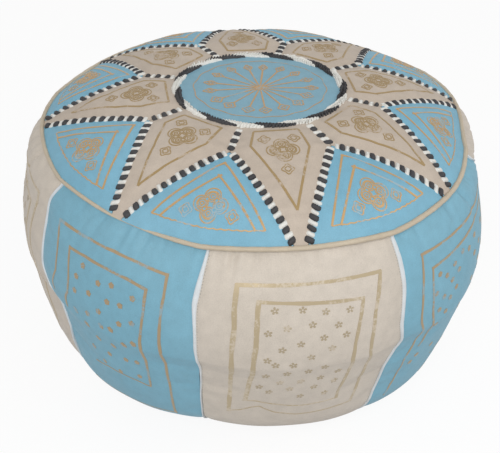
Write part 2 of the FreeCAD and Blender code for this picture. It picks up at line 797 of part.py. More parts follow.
# Pull tab: a forked strip whose round bar hangs in the slider's loop, leaning on the floor
pull_length = size("pull_length")
pull_half = size("pull_width") / 2
pull_thick = size("pull_thick")
bar = size("pull_bar_radius")
fork = size("bail_width") / 2 + clearance + 0.2
fork_deep = bail_out + bail_wall + 1
pull_body = new_body("zip_pull")
strip_sketch = plane_sketch(pull_body, "pull_strip", "XY_Plane")
draw(strip_sketch,
     [(bar, -pull_half), (bar, -fork), (-fork_deep, -fork), (-fork_deep, fork), (bar, fork),
      (bar, pull_half), (-pull_length + pull_half, pull_half), (-pull_length + pull_half, -pull_half)],
     {6: (-pull_length, fixed(0))})
pad(pull_body, strip_sketch, pull_thick)
doc.recompute()
bar_sketch = plane_sketch(pull_body, "pull_bar", "XZ_Plane")
draw_ring(bar_sketch, (fixed(0), fixed(0)), bar)
pad(pull_body, bar_sketch, size("pull_width") - 1)
pull_height = tape_middle - slider_height / 2 - bail_clear / 2
pull_lean = math.degrees(math.asin((pull_height - pull_thick).number / pull_length.number))
pull_body.Placement = FreeCAD.Placement(Vector(0, 0, 0), FreeCAD.Rotation(Vector(0, 1, 0), -pull_lean))
bind(pull_body, "Placement.Base.x", slider_place)
lift(pull_body, pull_height)
node(pull_body, "zip_pull")

# Filling: a lobed stack of levels up to the crown, hollowed below for the raised base and the zip
fill_gap = leather + clearance * 8
LOBE_POINTS = 2


def lobed(name, height, middle_radius, seam_radius):
    """Level outline of the filling that swells from each side seam to the middle of its panel."""
    sketch = doc.addObject("Sketcher::SketchObject", name)
    bind(sketch, "Placement.Base.z", height)
    corners = []
    for step in range(PANELS * LOBE_POINTS):
        angle = math.radians(step * STEP / LOBE_POINTS)
        off_middle = 1 - abs(2 * (step % LOBE_POINTS) / LOBE_POINTS - 1)
        radius = middle_radius - (middle_radius - seam_radius) * off_middle ** 2
        corners.append((radius * math.cos(angle), radius * math.sin(angle)))
    draw(sketch, corners)
    return sketch


fill_rim = flange_inner - clearance * 3
fill_crown = crown_height - shoulder_drop - fill_gap
fill_foot = foot_radius - depth
fill_seam = depth - proud + seam_draw + clearance * 10
levels = [lobed("filling_foot", leather + clearance, fill_foot, fill_foot - seam_draw)]
for name in ("turn", "heel", "waist", "crease", "bulge"):
    radius = size(f"{name}_radius")
    levels.append(lobed(f"filling_{name}", size(f"{name}_height"), radius - fill_gap, radius - fill_seam))
fill_rim_seam = edge_radius - seam_draw - depth - clearance * 3
levels.append(lobed("filling_rim", rim_height, fill_rim, fill_rim_seam))
levels.append(lobed("filling_crown", fill_crown, shoulder, shoulder))
wad = doc.addObject("Part::Loft", "filling_wad")
wad.Sections = levels
wad.Solid = True
wad.Ruled = True

hollow = doc.addObject("Part::Cone", "filling_hollow")
bind(hollow, "Radius1", base_ring + clearance * 4)
bind(hollow, "Radius2", base_flat + clearance * 4)
bind(hollow, "Height", base_recess)
lift(hollow, leather + clearance)
raised = doc.addObject("Part::Cut", "filling_raised")
raised.Base = wad
raised.Tool = hollow

way = doc.addObject("Part::Box", "filling_zip_way")
bind(way, "Length", (tape_half + clearance * 4) * 2)
bind(way, "Width", (tape_edge + size("tape_width") + clearance * 4) * 2)
bind(way, "Height", tape_middle + slider_height / 2 + clearance)
bind(way, "Placement.Base.x", -(tape_half + clearance * 4))
bind(way, "Placement.Base.y", -(tape_edge + size("tape_width") + clearance * 4))
filling = doc.addObject("Part::Cut", "filling")
filling.Base = raised
filling.Tool = way
node(filling, "filling")

# Check every object and write the pieces
doc.recompute()
for item in doc.Objects:
    if any(word in item.State for word in ("Invalid", "Error")):
        raise RuntimeError(f"{item.Name} is not right: {item.State}")
os.makedirs("parts", exist_ok=True)
for item in nodes:
    shape = item.Shape
    if shape.isNull() or not shape.isValid() or not shape.Solids:
        raise RuntimeError(f"{item.Label} has no sound shape")
    shape.exportStep(f"parts/{item.Label}.step")
print("pieces", len(nodes))
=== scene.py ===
import math

import bmesh
import bpy
import numpy as np
from mathutils import Matrix, Vector


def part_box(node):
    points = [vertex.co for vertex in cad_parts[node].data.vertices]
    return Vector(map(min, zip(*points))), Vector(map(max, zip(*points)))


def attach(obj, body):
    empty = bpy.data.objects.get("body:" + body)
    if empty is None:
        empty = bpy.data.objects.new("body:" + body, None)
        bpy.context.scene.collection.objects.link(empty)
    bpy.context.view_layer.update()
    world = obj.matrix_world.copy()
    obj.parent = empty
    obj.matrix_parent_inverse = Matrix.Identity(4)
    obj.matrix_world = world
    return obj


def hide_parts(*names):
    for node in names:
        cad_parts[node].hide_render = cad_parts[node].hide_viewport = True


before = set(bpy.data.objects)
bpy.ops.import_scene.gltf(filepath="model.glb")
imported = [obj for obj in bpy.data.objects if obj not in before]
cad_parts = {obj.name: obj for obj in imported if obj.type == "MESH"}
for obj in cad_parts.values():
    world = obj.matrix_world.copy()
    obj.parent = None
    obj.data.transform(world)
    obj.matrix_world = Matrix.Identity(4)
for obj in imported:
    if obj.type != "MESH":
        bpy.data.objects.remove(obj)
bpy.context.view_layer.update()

# Crown of the stuffed form. Goat leather is cut in wedges, sewn into a round cover and filled until the
# skins stand out between their seams. The medallion was cut slightly oval and lies almost flat, and two
# of the star's points were sewn askew. Each piece of the top is laid on this face.
PANELS = 8
STEP = 2 * math.pi / PANELS
FRONT = -math.pi / 2
COLUMNS = 96 * PANELS
SEAM_SWAY = 0.0026
CROWN_ROWS = 121
MEDALLION = 0.092
SHOULDER_RADIUS = 0.138
SHOULDER = SHOULDER_RADIUS * np.array((math.cos(STEP / 2), math.sin(STEP / 2)))
STAR_TIP = np.array((0.244, 0.0058))
CROWN_EDGE = 0.2432
CROWN_TOP = 0.342
CAP_ARC = 1.3638
RIM_ARC = 0.220
RIM_ARC_CENTRE = (0.1157, 0.1159)
PUFF = 0.0032
PUFF_RUN = 0.018
SEAM_SINK = 0.0012
MEDALLION_SAG = 0.0050
CROWN_TILT = 0.022
OVAL = (0.0018, -0.0045)
OVAL_RUN = 0.030
POINT_STRAY = ((180, -5.5), (0, 2.2))
STRAY_SPREAD = 24
# Bumps of the rim: direction and spread in degrees, and how far it is let out.
RIM_BUMPS = ((-17, 17, -0.0105), (-66, 10, 0.0020), (-112, 9, 0.0020), (-146, 14, -0.0020),
             (169, 14, 0.0046), (14, 14, 0.0040))


def off_middle(angle):
    """Place across a panel: -1 at one seam, 0 at the middle and 1 at the other seam."""
    return ((angle - FRONT) / STEP + 0.5) % 1 * 2 - 1


def near(angle, degrees, width):
    """A soft bump round one direction: the bell curve of the angle to it."""
    away = (angle - math.radians(degrees) + math.pi) % (2 * math.pi) - math.pi
    return np.exp(-(away / math.radians(width)) ** 2)


def rim_sway(angle):
    """How far the rim stands out of its circle: a little at each side seam, and drawn in or let out by
    a soft bump round each direction."""
    sway = SEAM_SWAY * np.abs(off_middle(angle)) ** 3
    for toward, spread, out in RIM_BUMPS:
        sway = sway + out * near(angle, toward, spread)
    return sway


def rim_lift(angle):
    """How far the rim rises over its plane: one wave and three waves round, and a rise at the front."""
    return (0.0010 * np.cos(angle - 1.2) + 0.0008 * np.cos(3 * angle + 0.4)
            + 0.0013 * near(angle, -92, 30))


def crown_height(radius):
    """Height of the crown: a wide circle over the star's shoulders and a tighter one to the rim."""
    cap = CROWN_TOP - CAP_ARC + np.sqrt(CAP_ARC ** 2 - radius ** 2)
    fall = RIM_ARC_CENTRE[1] + np.sqrt(np.maximum(RIM_ARC ** 2 - (radius - RIM_ARC_CENTRE[0]) ** 2, 0))
    return np.where(radius < SHOULDER_RADIUS, cap, fall)


def to_line(along, across, start, finish):
    """Distance of plan points to a straight seam: to the nearest point between its two ends."""
    run = (finish[0] - start[0], finish[1] - start[1])
    share = ((along - start[0]) * run[0] + (across - start[1]) * run[1]) / (run[0] ** 2 + run[1] ** 2)
    share = np.clip(share, 0, 1)
    return np.hypot(along - start[0] - share * run[0], across - start[1] - share * run[1])


def seam_distance(radius, angle):
    """How far a crown point is from the nearest seam: folded into one star point, it is measured to
    the seam between two points, to the seam along a gore and to the medallion's edge."""
    turn = np.abs(off_middle(angle)) * STEP / 2
    along, across = radius * np.cos(turn), radius * np.sin(turn)
    inner = (MEDALLION * math.cos(STEP / 2), MEDALLION * math.sin(STEP / 2))
    between_points = to_line(along, across, inner, SHOULDER)
    along_gore = to_line(along, across, SHOULDER, STAR_TIP)
    return np.minimum(np.minimum(between_points, along_gore), np.abs(radius - MEDALLION))


round_angle = (FRONT + np.arange(COLUMNS) * (2 * math.pi / COLUMNS))[:, None]
crown_radius = np.linspace(0, CROWN_EDGE, CROWN_ROWS)[None, :]
to_rim = crown_radius / CROWN_EDGE
swell = PUFF * (1 - np.exp(-seam_distance(crown_radius, round_angle) / PUFF_RUN)) - SEAM_SINK
crown_angle = round_angle + 0 * to_rim
for toward, strayed in POINT_STRAY:
    crown_angle += math.radians(strayed) * near(round_angle, toward, STRAY_SPREAD) * to_rim ** 4
crown_z = (crown_height(crown_radius) + swell * (1 - to_rim ** 10) + rim_lift(crown_angle) * to_rim ** 2
           + 0.0012 * np.cos(2 * round_angle + 0.7) * to_rim * (1 - to_rim ** 6)
           - CROWN_TILT * crown_radius * np.sin(round_angle) * (1 - to_rim ** 3))
to_seam = crown_radius / MEDALLION
crown_z -= MEDALLION_SAG * np.clip(1 - to_seam ** 2, 0, 1)
oval = OVAL[0] * np.cos(round_angle) ** 2 + OVAL[1] * np.sin(round_angle) ** 2
crown_out = (crown_radius + rim_sway(crown_angle) * to_rim ** 4
             + oval * np.where(to_seam < 1, to_seam, np.exp(-((crown_radius - MEDALLION) / OVAL_RUN) ** 2)))
crown = np.stack([crown_out * np.cos(crown_angle), crown_out * np.sin(crown_angle), crown_z], -1)

# Side of the stuffed form: drawn in at the seams, folded at the sitting crease, gathered under the
# rolled edge. Each upright seam strays a few degrees as it was sewn, and the skin strays with it.
SIDE_ROWS = 161
EDGE = (0.2403, 0.2949)
CREASE = (0.278, 0.170)
HEEL = (0.253, 0.070)
FOOT = (0.180, 0.0)
SIDE_ARCS = ((EDGE, (0.267, 0.249), CREASE),
             (CREASE, (0.267, 0.122), HEEL),
             (HEEL, (0.231, 0.028), FOOT))
ARC_ENDS = (0, 0.39, 0.69, 1)
GATHERS = 170
FOLD_DEPTH = 0.0034
FOLD_START, FOLD_RUN = 0.388, 0.05
FOLD_END, FOLD_FADE = 0.92, 0.35
GROOVE_DEPTH = 0.0005
GROOVE_AT, GROOVE_RUN = 0.403, 0.016
SLUMP_TOWARD, SLUMP_SPREAD = -108, 30
SLUMP_AT, SLUMP_RUN = 0.86, 0.12
SLUMP_IN = 0.0085
SLUMP_UP = 0.0040
SEAM_PINCH = 0.0012
PINCH_RUN = 0.07
DRAWN_SHARES = (0, 0.10, 0.40, 0.70, 1)
DRAWN_IN = (0, 0.0012, 0.0034, 0.0028, 0.0008)
LEANING_SEAM = -22.5
LEAN_SPREAD = 16
# Swellings and hollows: direction and spread in degrees, share down and run, and how far out.
SWELLINGS = ((178, 20, 0.06, 0.06, 0.0070), (192, 22, 0.20, 0.10, -0.0045), (190, 26, 0.37, 0.10, -0.0030),
             (-150, 28, 0.66, 0.18, 0.0062), (0, 30, 0.06, 0.06, 0.0100), (-8, 24, 0.38, 0.12, -0.0095),
             (-54, 20, 0.86, 0.10, 0.0050), (-4, 36, 0.20, 0.16, -0.0085))
# Waves of the skin: how many round, how many down and how deep.
SKIN_WAVES = ((5, 2.0, 0.0008), (9, 3.0, 0.0006), (14, 5.0, 0.0004), (23, 8.0, 0.0003))
# Degrees the seams stray at shares of the way down: one at the right leans far, all wander a little.
LEAN_SHARES = (0, 0.04, 0.09, 0.14, 0.18, 0.33, 0.55, 1)
SEAM_LEAN = (-2.0, 0.0, 5.0, 9.0, 10.5, 10.5, 7.0, 0.0)
STRAY_SHARES = (0, 0.09, 0.18, 0.33, 0.42, 0.55, 0.72, 1)
SEAM_STRAY = ((-0.2, 0.9, 1.1, 0.7, 1.8, 0.3, 0.6, 0.5), (0.4, 0.2, -0.3, -0.5, -1.0, -0.6, 0.0, 0.3),
              (-0.6, 0.3, 0.6, 0.2, -0.4, 0.5, 0.4, 0.0), (0.8, -0.2, -0.5, 0.3, 0.9, 0.2, -0.3, 0.0),
              (-0.4, 0.4, 0.2, -0.6, -0.8, 0.1, 0.5, 0.2), (0.2, -0.6, -0.3, 0.4, 1.0, 0.8, 0.2, 0.0),
              (1.6, -1.2, -1.0, -1.0, 4.5, 6.0, 4.0, 1.5), (1.9, 0.8, 0.0, 0.2, 0.8, 0.4, -0.1, 0.0))


def arc_through(start, middle, finish, share):
    """Points on the circle through three points: its centre is equally far from all three, and the
    start is turned about it by a share of the whole turn to the finish."""
    first, second, third = (complex(*point) for point in (start, middle, finish))
    ratio = (third - first) / (second - first)
    centre = first + (second - first) * (ratio - abs(ratio) ** 2) / (ratio - ratio.conjugate())
    turn = np.angle((third - centre) / (first - centre))
    return centre + (first - centre) * np.exp(1j * turn * share)


def side_line(share):
    """Radius and height down a side panel: three arcs one after another, rounded where they meet by
    averaging each point with its neighbours."""
    line = np.zeros(share.shape, complex)
    for arc, first, last in zip(SIDE_ARCS, ARC_ENDS, ARC_ENDS[1:]):
        inside = (share >= first) & (share <= last)
        line[inside] = arc_through(*arc, (share[inside] - first) / (last - first))
    for _ in range(2):
        line[1:-1] = (line[:-2] + 2 * line[1:-1] + line[2:]) / 4
    return line.real, line.imag


chance = np.random.default_rng(8)
share_down = np.linspace(0, 1, SIDE_ROWS)[None, :]
place_across = off_middle(round_angle)


def stray(angle, share):
    """Angle a side point strays: the wander of the seams to its left and right at its height, each
    weighted by nearness."""
    wander = np.array([np.interp(share[0], STRAY_SHARES, line) for line in SEAM_STRAY])
    for _ in range(3):
        wander[:, 1:-1] = (wander[:, :-2] + 2 * wander[:, 1:-1] + wander[:, 2:]) / 4
    place = (angle[:, 0] - FRONT) / STEP - 0.5
    left = np.floor(place).astype(int)
    weight = (place - left)[:, None]
    return np.radians((1 - weight) * wander[left % PANELS] + weight * wander[(left + 1) % PANELS])


side_angle = round_angle + stray(round_angle, share_down)
side_angle += np.radians(np.interp(share_down, LEAN_SHARES, SEAM_LEAN)) * near(
    round_angle, LEANING_SEAM, LEAN_SPREAD)
line_radius, line_height = side_line(share_down[0])
fold_shift = (0.010 * np.cos(3 * round_angle + 0.5) + 0.008 * np.cos(5 * round_angle - 1.1)
              - 0.020 * near(round_angle, -52, 20))
fold_share = np.clip(share_down + fold_shift * np.sin(math.pi * share_down) ** 2, 0, 1)
side_radius = np.interp(fold_share, share_down[0], line_radius)
side_z = np.interp(fold_share, share_down[0], line_height)
drawn_in = np.interp(share_down, DRAWN_SHARES, DRAWN_IN)
side_radius = side_radius - drawn_in * place_across ** 2
side_radius -= (SEAM_PINCH * np.exp(-(1 - np.abs(place_across)) / PINCH_RUN)
                * np.clip(share_down * 12, 0, 1) * np.clip((1 - share_down) * 12, 0, 1))
side_radius += rim_sway(side_angle) * (1 - share_down) ** 4
below_fold = (np.clip((fold_share - FOLD_START) / FOLD_RUN, 0, 1)
              * np.clip((FOLD_END - fold_share) / FOLD_FADE, 0, 1))
side_radius -= FOLD_DEPTH * below_fold
side_radius -= GROOVE_DEPTH * np.exp(-((fold_share - GROOVE_AT) / GROOVE_RUN) ** 2)
slumped = (near(side_angle, SLUMP_TOWARD, SLUMP_SPREAD)
           * np.exp(-((share_down - SLUMP_AT) / SLUMP_RUN) ** 2)
           * np.clip((1 - share_down) / 0.08, 0, 1))
side_radius -= SLUMP_IN * slumped
side_z += rim_lift(side_angle) * (1 - share_down) ** 3 + SLUMP_UP * slumped
for toward, spread, down, run, swollen in SWELLINGS:
    side_radius += swollen * near(side_angle, toward, spread) * np.exp(-((share_down - down) / run) ** 2)
gather_at = chance.uniform(0, 360, GATHERS)
gather_depth = chance.uniform(0.0006, 0.0024, GATHERS)
gather_wide = chance.uniform(0.6, 1.0, GATHERS)
gather_long = chance.uniform(0.03, 0.16, GATHERS)
gathers = np.zeros((COLUMNS, SIDE_ROWS))
for at, depth, wide, long in zip(gather_at, gather_depth, gather_wide, gather_long):
    gathers += (depth * near(round_angle, at, wide) * np.exp(-(share_down / long) ** 2)
                * np.clip(share_down * 50, 0, 1))
for turns, downs, depth in SKIN_WAVES:
    phase = chance.uniform(0, 2 * math.pi, 2)
    side_radius += (depth * np.cos(turns * round_angle + phase[0] + 2 * np.cos(downs * share_down))
                    * np.cos(downs * math.pi * share_down + phase[1]) * np.sin(math.pi * share_down))
side = np.stack([side_radius * np.cos(side_angle), side_radius * np.sin(side_angle), side_z], -1)

# Filling the cover: the skins are run as cloth, held at every seam and at the rim and foot, while the
# stuffing presses them out. The push of each point is kept small and laid on the finer skins.
SKIN_GROWTH = -0.010
PRESS = 5.0
MOST_MOVE = 0.004
ROUND_SKIP = 3
CROWN_SKIP = 3
SIDE_SKIP = 4
HELD_SEAM = 0.004
FRAMES = 20


def between(grid, column, row):
    """Value of a grid at fractional columns and rows: its four nearest entries weighted by nearness.
    Columns run on round the form and rows stop at its ends."""
    row = np.clip(row, 0, grid.shape[1] - 1.0001)
    left, low = np.floor(column).astype(int), np.floor(row).astype(int)
    u, v = (column - left)[..., None], (row - low)[..., None]
    one, two = left % grid.shape[0], (left + 1) % grid.shape[0]
    upper = (1 - u) * grid[one, low] + u * grid[two, low]
    lower = (1 - u) * grid[one, low + 1] + u * grid[two, low + 1]
    return (1 - v) * upper + v * lower


def outward(skin):
    """Unit normals of a skin: the cross product of its run down the rows and its run round."""
    run_round = np.roll(skin, -1, 0) - np.roll(skin, 1, 0)
    normal = np.cross(np.gradient(skin, axis=1), run_round)
    length = np.linalg.norm(normal, axis=2, keepdims=True)
    return np.where(length > 1e-12, normal / np.maximum(length, 1e-12), (0, 0, 1))


def round_quads(count, rows):
    """Faces of a grid whose columns run on round a form: each point, the one below and the next two."""
    index = np.arange(count * rows).reshape(count, rows)
    after = np.roll(index, -1, 0)
    return np.stack([index[:, :-1], index[:, 1:], after[:, 1:], after[:, :-1]], -1).reshape(-1, 4)


coarse_crown = crown[::ROUND_SKIP, CROWN_SKIP::CROWN_SKIP]
coarse = np.concatenate([coarse_crown, side[::ROUND_SKIP, ::SIDE_SKIP]], axis=1)
count, rows = coarse.shape[:2]
seam_gap = seam_distance(crown_radius, round_angle)[::ROUND_SKIP, CROWN_SKIP::CROWN_SKIP]
held_radius = crown_radius[:, CROWN_SKIP::CROWN_SKIP]
held_crown = (seam_gap < HELD_SEAM) | (held_radius > EDGE[0] - 0.001) | (held_radius < MEDALLION)
side_share = share_down[:, ::SIDE_SKIP]
held_side = (np.abs(place_across[::ROUND_SKIP]) > 0.98) | (side_share < 0.001) | (side_share > 0.999)
held = np.concatenate([held_crown, held_side], axis=1)
skin_mesh = bpy.data.meshes.new("cover_cloth")
skin_mesh.from_pydata(coarse.reshape(-1, 3).tolist(), [], round_quads(count, rows).tolist())
skin = bpy.data.objects.new("cover_cloth", skin_mesh)
bpy.context.collection.objects.link(skin)
skin.vertex_groups.new(name="sewn").add(np.flatnonzero(held).tolist(), 1.0, "REPLACE")
cloth = skin.modifiers.new("filled", "CLOTH")
for setting, value in dict(vertex_group_mass="sewn", quality=6, tension_stiffness=30,
                           compression_stiffness=30, shear_stiffness=12, bending_stiffness=3,
                           use_pressure=True, uniform_pressure_force=PRESS,
                           shrink_min=SKIN_GROWTH).items():
    setattr(cloth.settings, setting, value)
cloth.settings.effector_weights.gravity = 0
cloth.collision_settings.use_collision = False
for step in range(1, FRAMES + 1):
    bpy.context.scene.frame_set(step)
filled = skin.evaluated_get(bpy.context.evaluated_depsgraph_get())
moved = np.empty(count * rows * 3)
filled.data.vertices.foreach_get("co", moved)
bpy.context.scene.frame_set(1)
bpy.data.objects.remove(skin)
push = moved.reshape(coarse.shape) - coarse
far = np.linalg.norm(push, axis=2, keepdims=True)
push *= np.minimum(1, MOST_MOVE / np.maximum(far, 1e-9))
for _ in range(2):
    push = (np.roll(push, 1, 0) + 2 * push + np.roll(push, -1, 0)) / 4
push[held] = 0
coarse_column = np.arange(COLUMNS)[:, None] / ROUND_SKIP
crown_row = np.arange(CROWN_ROWS)[None, :] / CROWN_SKIP - 1
side_row = np.arange(SIDE_ROWS)[None, :] / SIDE_SKIP
crown_push, side_push = push[:, :coarse_crown.shape[1]], push[:, coarse_crown.shape[1]:]
crown = crown + between(crown_push, coarse_column + 0 * crown_row, crown_row + 0 * coarse_column)
crown[:, 0] = crown[:, 0].mean(0)
side = side + between(side_push, coarse_column + 0 * side_row, side_row + 0 * coarse_column)
side = side - outward(side) * gathers[..., None]
crown_normal, side_normal = outward(crown), outward(side)
crown_normal[:, 0] = (0, 0, 1)

# Leather: goat skin with cells of about two millimetres and painted shade in the grooves between them,
# fine creases, clouds of paler dye and a tone that turns darker and greyer towards the bottom. Each
# sewn piece is a closed shell of it, laid on the crown or the side.
SHINE = 0.32
GRAIN_DEPTH = 0.0005


def colour(red, green, blue):
    """A colour as it looks on a screen, 0 to 255, turned into the light it stands for."""
    level = np.array((red, green, blue)) / 255
    light = np.where(level <= 0.04045, level / 12.92, ((level + 0.055) / 1.055) ** 2.4)
    return (*light.tolist(), 1.0)


def feed(tree, item, inputs):
    """Set a shader node's inputs, each to a plain value or joined to another node's output."""
    for socket, value in inputs.items():
        if isinstance(value, bpy.types.NodeSocket):
            tree.links.new(value, item.inputs[socket])
        else:
            item.inputs[socket].default_value = value


def add(tree, kind, inputs=(), **settings):
    """A shader node of one kind, with its settings and its inputs."""
    item = tree.nodes.new("ShaderNode" + kind)
    for key, value in settings.items():
        setattr(item, key, value)
    feed(tree, item, dict(inputs))
    return item


def noise(tree, where, scale, detail, **more):
    """Cloudy noise of a scale and a depth of detail, from 0 to 1."""
    return add(tree, "TexNoise", {"Vector": where, "Scale": scale, "Detail": detail, **more}).outputs[0]


def blend(tree, share, first, second):
    """The colour that lies a share of the way from one colour to another."""
    return add(tree, "Mix", {0: share, 6: first, 7: second}, data_type="RGBA").outputs[2]


def reach(tree, value, low, high, start=0.0, finish=1.0):
    """A value stretched so that low becomes start and high becomes finish."""
    inputs = {"Value": value, "From Min": low, "From Max": high, "To Min": start, "To Max": finish}
    return add(tree, "MapRange", inputs).outputs["Result"]


def work(tree, sign, first, second):
    """Two values joined by one arithmetic sign."""
    return add(tree, "Math", {0: first, 1: second}, operation=sign).outputs[0]


def new_group(name, takes, gives):
    """An empty shader group with named inputs and outputs: the group, what it takes and its end node."""
    group = bpy.data.node_groups.new(name, "ShaderNodeTree")
    kinds = {"vector": "NodeSocketVector", "colour": "NodeSocketColor", "value": "NodeSocketFloat"}
    for way, labels in (("INPUT", takes), ("OUTPUT", gives)):
        for label, kind in labels.items():
            group.interface.new_socket(label, in_out=way, socket_type=kinds[kind])
    return group, group.nodes.new("NodeGroupInput").outputs, group.nodes.new("NodeGroupOutput")


# A grey brown that the leather turns towards near the bottom.
BOTTOM_TONE = colour(120, 108, 92)
grain, takes, gives = new_group("goat_grain",
                                {"Where": "vector", "Dye": "colour", "Pale": "colour", "Low tone": "colour",
                                 "Cells": "value"},
                                {"Colour": "colour", "Roughness": "value", "Height": "value"})
clouds = noise(grain, takes["Where"], 11, 3)
mottle = noise(grain, takes["Where"], 85, 4)
creases = noise(grain, takes["Where"], 260, 5, Roughness=0.62, Distortion=1.2)
cells = add(grain, "TexVoronoi", {"Vector": takes["Where"], "Scale": takes["Cells"]},
            feature="DISTANCE_TO_EDGE").outputs["Distance"]
cell_top = reach(grain, cells, 0.0, 0.16)
dye_and_groove_shade = blend(grain, reach(grain, clouds, 0.40, 0.68, 0.0, 0.55), takes["Dye"], takes["Pale"])
dye_and_groove_shade = blend(grain, reach(grain, mottle, 0.30, 0.70, 0.10, 0.0), dye_and_groove_shade, (0.05, 0.04, 0.03, 1))
# Painted shade: the grooves between the cells are blended up to a tenth of the way to near black.
dye_and_groove_shade = blend(grain, reach(grain, cell_top, 0.0, 0.6, 0.10, 0.0), dye_and_groove_shade, (0.04, 0.03, 0.02, 1))
# Darker towards the bottom: below six centimetres the colour is blended, in patches, towards a grey brown.
low_down = add(grain, "SeparateXYZ", {0: takes["Where"]}).outputs[2]
darker_low = work(grain, "MULTIPLY", reach(grain, low_down, 0.060, 0.004, 0.0, 0.45), mottle)
rough = work(grain, "ADD", reach(grain, clouds, 0.3, 0.7, 0.50, 0.60),
             reach(grain, creases, 0.3, 0.7, -0.05, 0.08))
height = work(grain, "ADD", work(grain, "MULTIPLY", cell_top, 0.5), work(grain, "MULTIPLY", creases, 0.6))
feed(grain, gives, {"Colour": blend(grain, darker_low, dye_and_groove_shade, takes["Low tone"]), "Roughness": rough, "Height": height})


def empty_tree(owner):
    """The shader tree of a material or a world, emptied."""
    owner.use_nodes = True
    owner.node_tree.nodes.clear()
    return owner.node_tree


def new_material(name):
    """An empty material with a surface shader, and the object's own coordinates to draw with."""
    material = bpy.data.materials.new(name)
    tree = empty_tree(material)
    shader = add(tree, "BsdfPrincipled")
    add(tree, "OutputMaterial", {"Surface": shader.outputs[0]})
    return material, tree, shader, add(tree, "TexCoord").outputs["Object"]


def raised(tree, shader, height, strength, depth):
    """Bump the surface by a height, to a depth in metres."""
    bump = add(tree, "Bump", {"Height": height, "Strength": strength, "Distance": depth})
    feed(tree, shader, {"Normal": bump.outputs[0]})


def leather(name, dye, pale, cells=480, strength=0.30):
    """Dyed leather: the grain group's colour and roughness, its height as a shallow bump."""
    material, tree, shader, where = new_material(name)
    inputs = {"Where": where, "Dye": dye, "Pale": pale, "Low tone": BOTTOM_TONE, "Cells": cells}
    skin = add(tree, "Group", inputs, node_tree=grain).outputs
    feed(tree, shader, {"Base Color": skin["Colour"], "Roughness": skin["Roughness"],
                        "Specular IOR Level": SHINE})
    raised(tree, shader, skin["Height"], strength, GRAIN_DEPTH)
    return material


# Medallion: a disc of blue leather in the middle of the top, cut by hand and sewn round its edge to
# the star points; the braid covers that seam.
LEATHER = 0.0018
DISC_GAP = 0.0003
SHARP_EDGE = math.radians(50)
MERGE_GAP = 1e-6


def on_crown(x, y, lift):
    """A plan point laid on the crown and raised along its normal: its angle and radius give the
    column and row of the crown's grid."""
    column = (np.arctan2(y, x) - FRONT) * (COLUMNS / (2 * math.pi))
    row = np.hypot(x, y) * ((CROWN_ROWS - 1) / CROWN_EDGE)
    return between(crown, column, row) + between(crown_normal, column, row) * np.asarray(lift)[..., None]


def both_faces(lay, first, second, top, low):
    """Front and back of a piece: the same points laid on the cover at a top height and at a low one."""
    return lay(first, second, top), lay(first, second, low)


def shell_faces(rows, columns, closed):
    """Faces of one closed shell of two grids: quads on the front, turned round on the back, and a
    wall round the edge, or along both edges if the rows run on round."""
    index = np.arange(rows * columns).reshape(rows, columns)
    loop = np.concatenate([index, index[:1]]) if closed else index
    front = np.stack([loop[:-1, :-1], loop[1:, :-1], loop[1:, 1:], loop[:-1, 1:]], -1).reshape(-1, 4)
    back = index.size
    if closed:
        edge = np.concatenate([loop[1:, 0], loop[:-1, -1]])
        ahead = np.concatenate([loop[:-1, 0], loop[1:, -1]])
    else:
        edge = np.concatenate([index[0, :], index[1:, -1], index[-1, -2::-1], index[-2:0:-1, 0]])
        ahead = np.roll(edge, -1)
    walls = np.stack([edge, ahead, ahead + back, edge + back], -1)
    return np.concatenate([front, front[:, ::-1] + back, walls])


def new_piece(name, points, faces, material, node_names=(), merged=False, turned=False, sharp=True):
    """One smooth mesh on the cover's body. If asked, points that fall together are merged, faces are
    turned outward, and edges stay sharp where faces meet at more than an angle."""
    mesh = bpy.data.meshes.new(name)
    mesh.from_pydata(points.reshape(-1, 3).tolist(), [], faces.tolist())
    if merged:
        loose = bmesh.new()
        loose.from_mesh(mesh)
        bmesh.ops.remove_doubles(loose, verts=loose.verts, dist=MERGE_GAP)
        if turned:
            bmesh.ops.recalc_face_normals(loose, faces=loose.faces)
        loose.to_mesh(mesh)
        loose.free()
    mesh.polygons.foreach_set("use_smooth", np.ones(len(mesh.polygons), bool))
    if sharp:
        mesh.set_sharp_from_angle(angle=SHARP_EDGE)
    mesh.materials.append(material)
    piece = bpy.data.objects.new(name, mesh)
    bpy.context.collection.objects.link(piece)
    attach(piece, "cover")
    if node_names:
        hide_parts(*node_names)
    return piece


def make_piece(name, shells, material, slot, node_names=(), closed=False):
    """One mesh of closed shells. Each shell is a front and a back grid of points, or a stack of such
    grids; if its quads face away from the front, they are turned round."""
    points, faces, start = [], [], 0
    for front, back in shells:
        front = front.reshape(-1, *front.shape[-3:])
        back = back.reshape(front.shape)
        stack, rows, columns = front.shape[:3]
        quads = shell_faces(rows, columns, closed)
        i, j = rows // 2 - (rows == 2), columns // 2 - (columns == 2)
        i, j = min(i, rows - 2), min(j, columns - 2)
        facing = np.cross(front[0, i + 1, j] - front[0, i, j], front[0, i, j + 1] - front[0, i, j])
        if facing @ (front[0, i, j] - back[0, i, j]) < 0:
            quads = quads[:, ::-1]
        both = np.concatenate([front.reshape(stack, -1, 3), back.reshape(stack, -1, 3)], axis=1)
        shift = start + np.arange(stack)[:, None, None] * both.shape[1]
        points.append(both.reshape(-1, 3))
        faces.append((quads[None] + shift).reshape(-1, 4))
        start += both.shape[0] * both.shape[1]
    faces = np.concatenate(faces)
    return new_piece(name, np.concatenate(points), faces, material, node_names, merged=closed)


medallion_blue = leather("medallion_blue", colour(128, 170, 188), colour(140, 180, 197))
disc_radius = np.linspace(0, MEDALLION - DISC_GAP, 46)[None, :]
disc_angle = np.linspace(0, 2 * math.pi, 181)[:-1, None]
disc_x, disc_y = disc_radius * np.cos(disc_angle), disc_radius * np.sin(disc_angle)
disc = both_faces(on_crown, disc_x, disc_y, 0.0, -LEATHER)
medallion = make_piece("medallion", [disc], medallion_blue, "blue_leather", ["medallion"], closed=True)

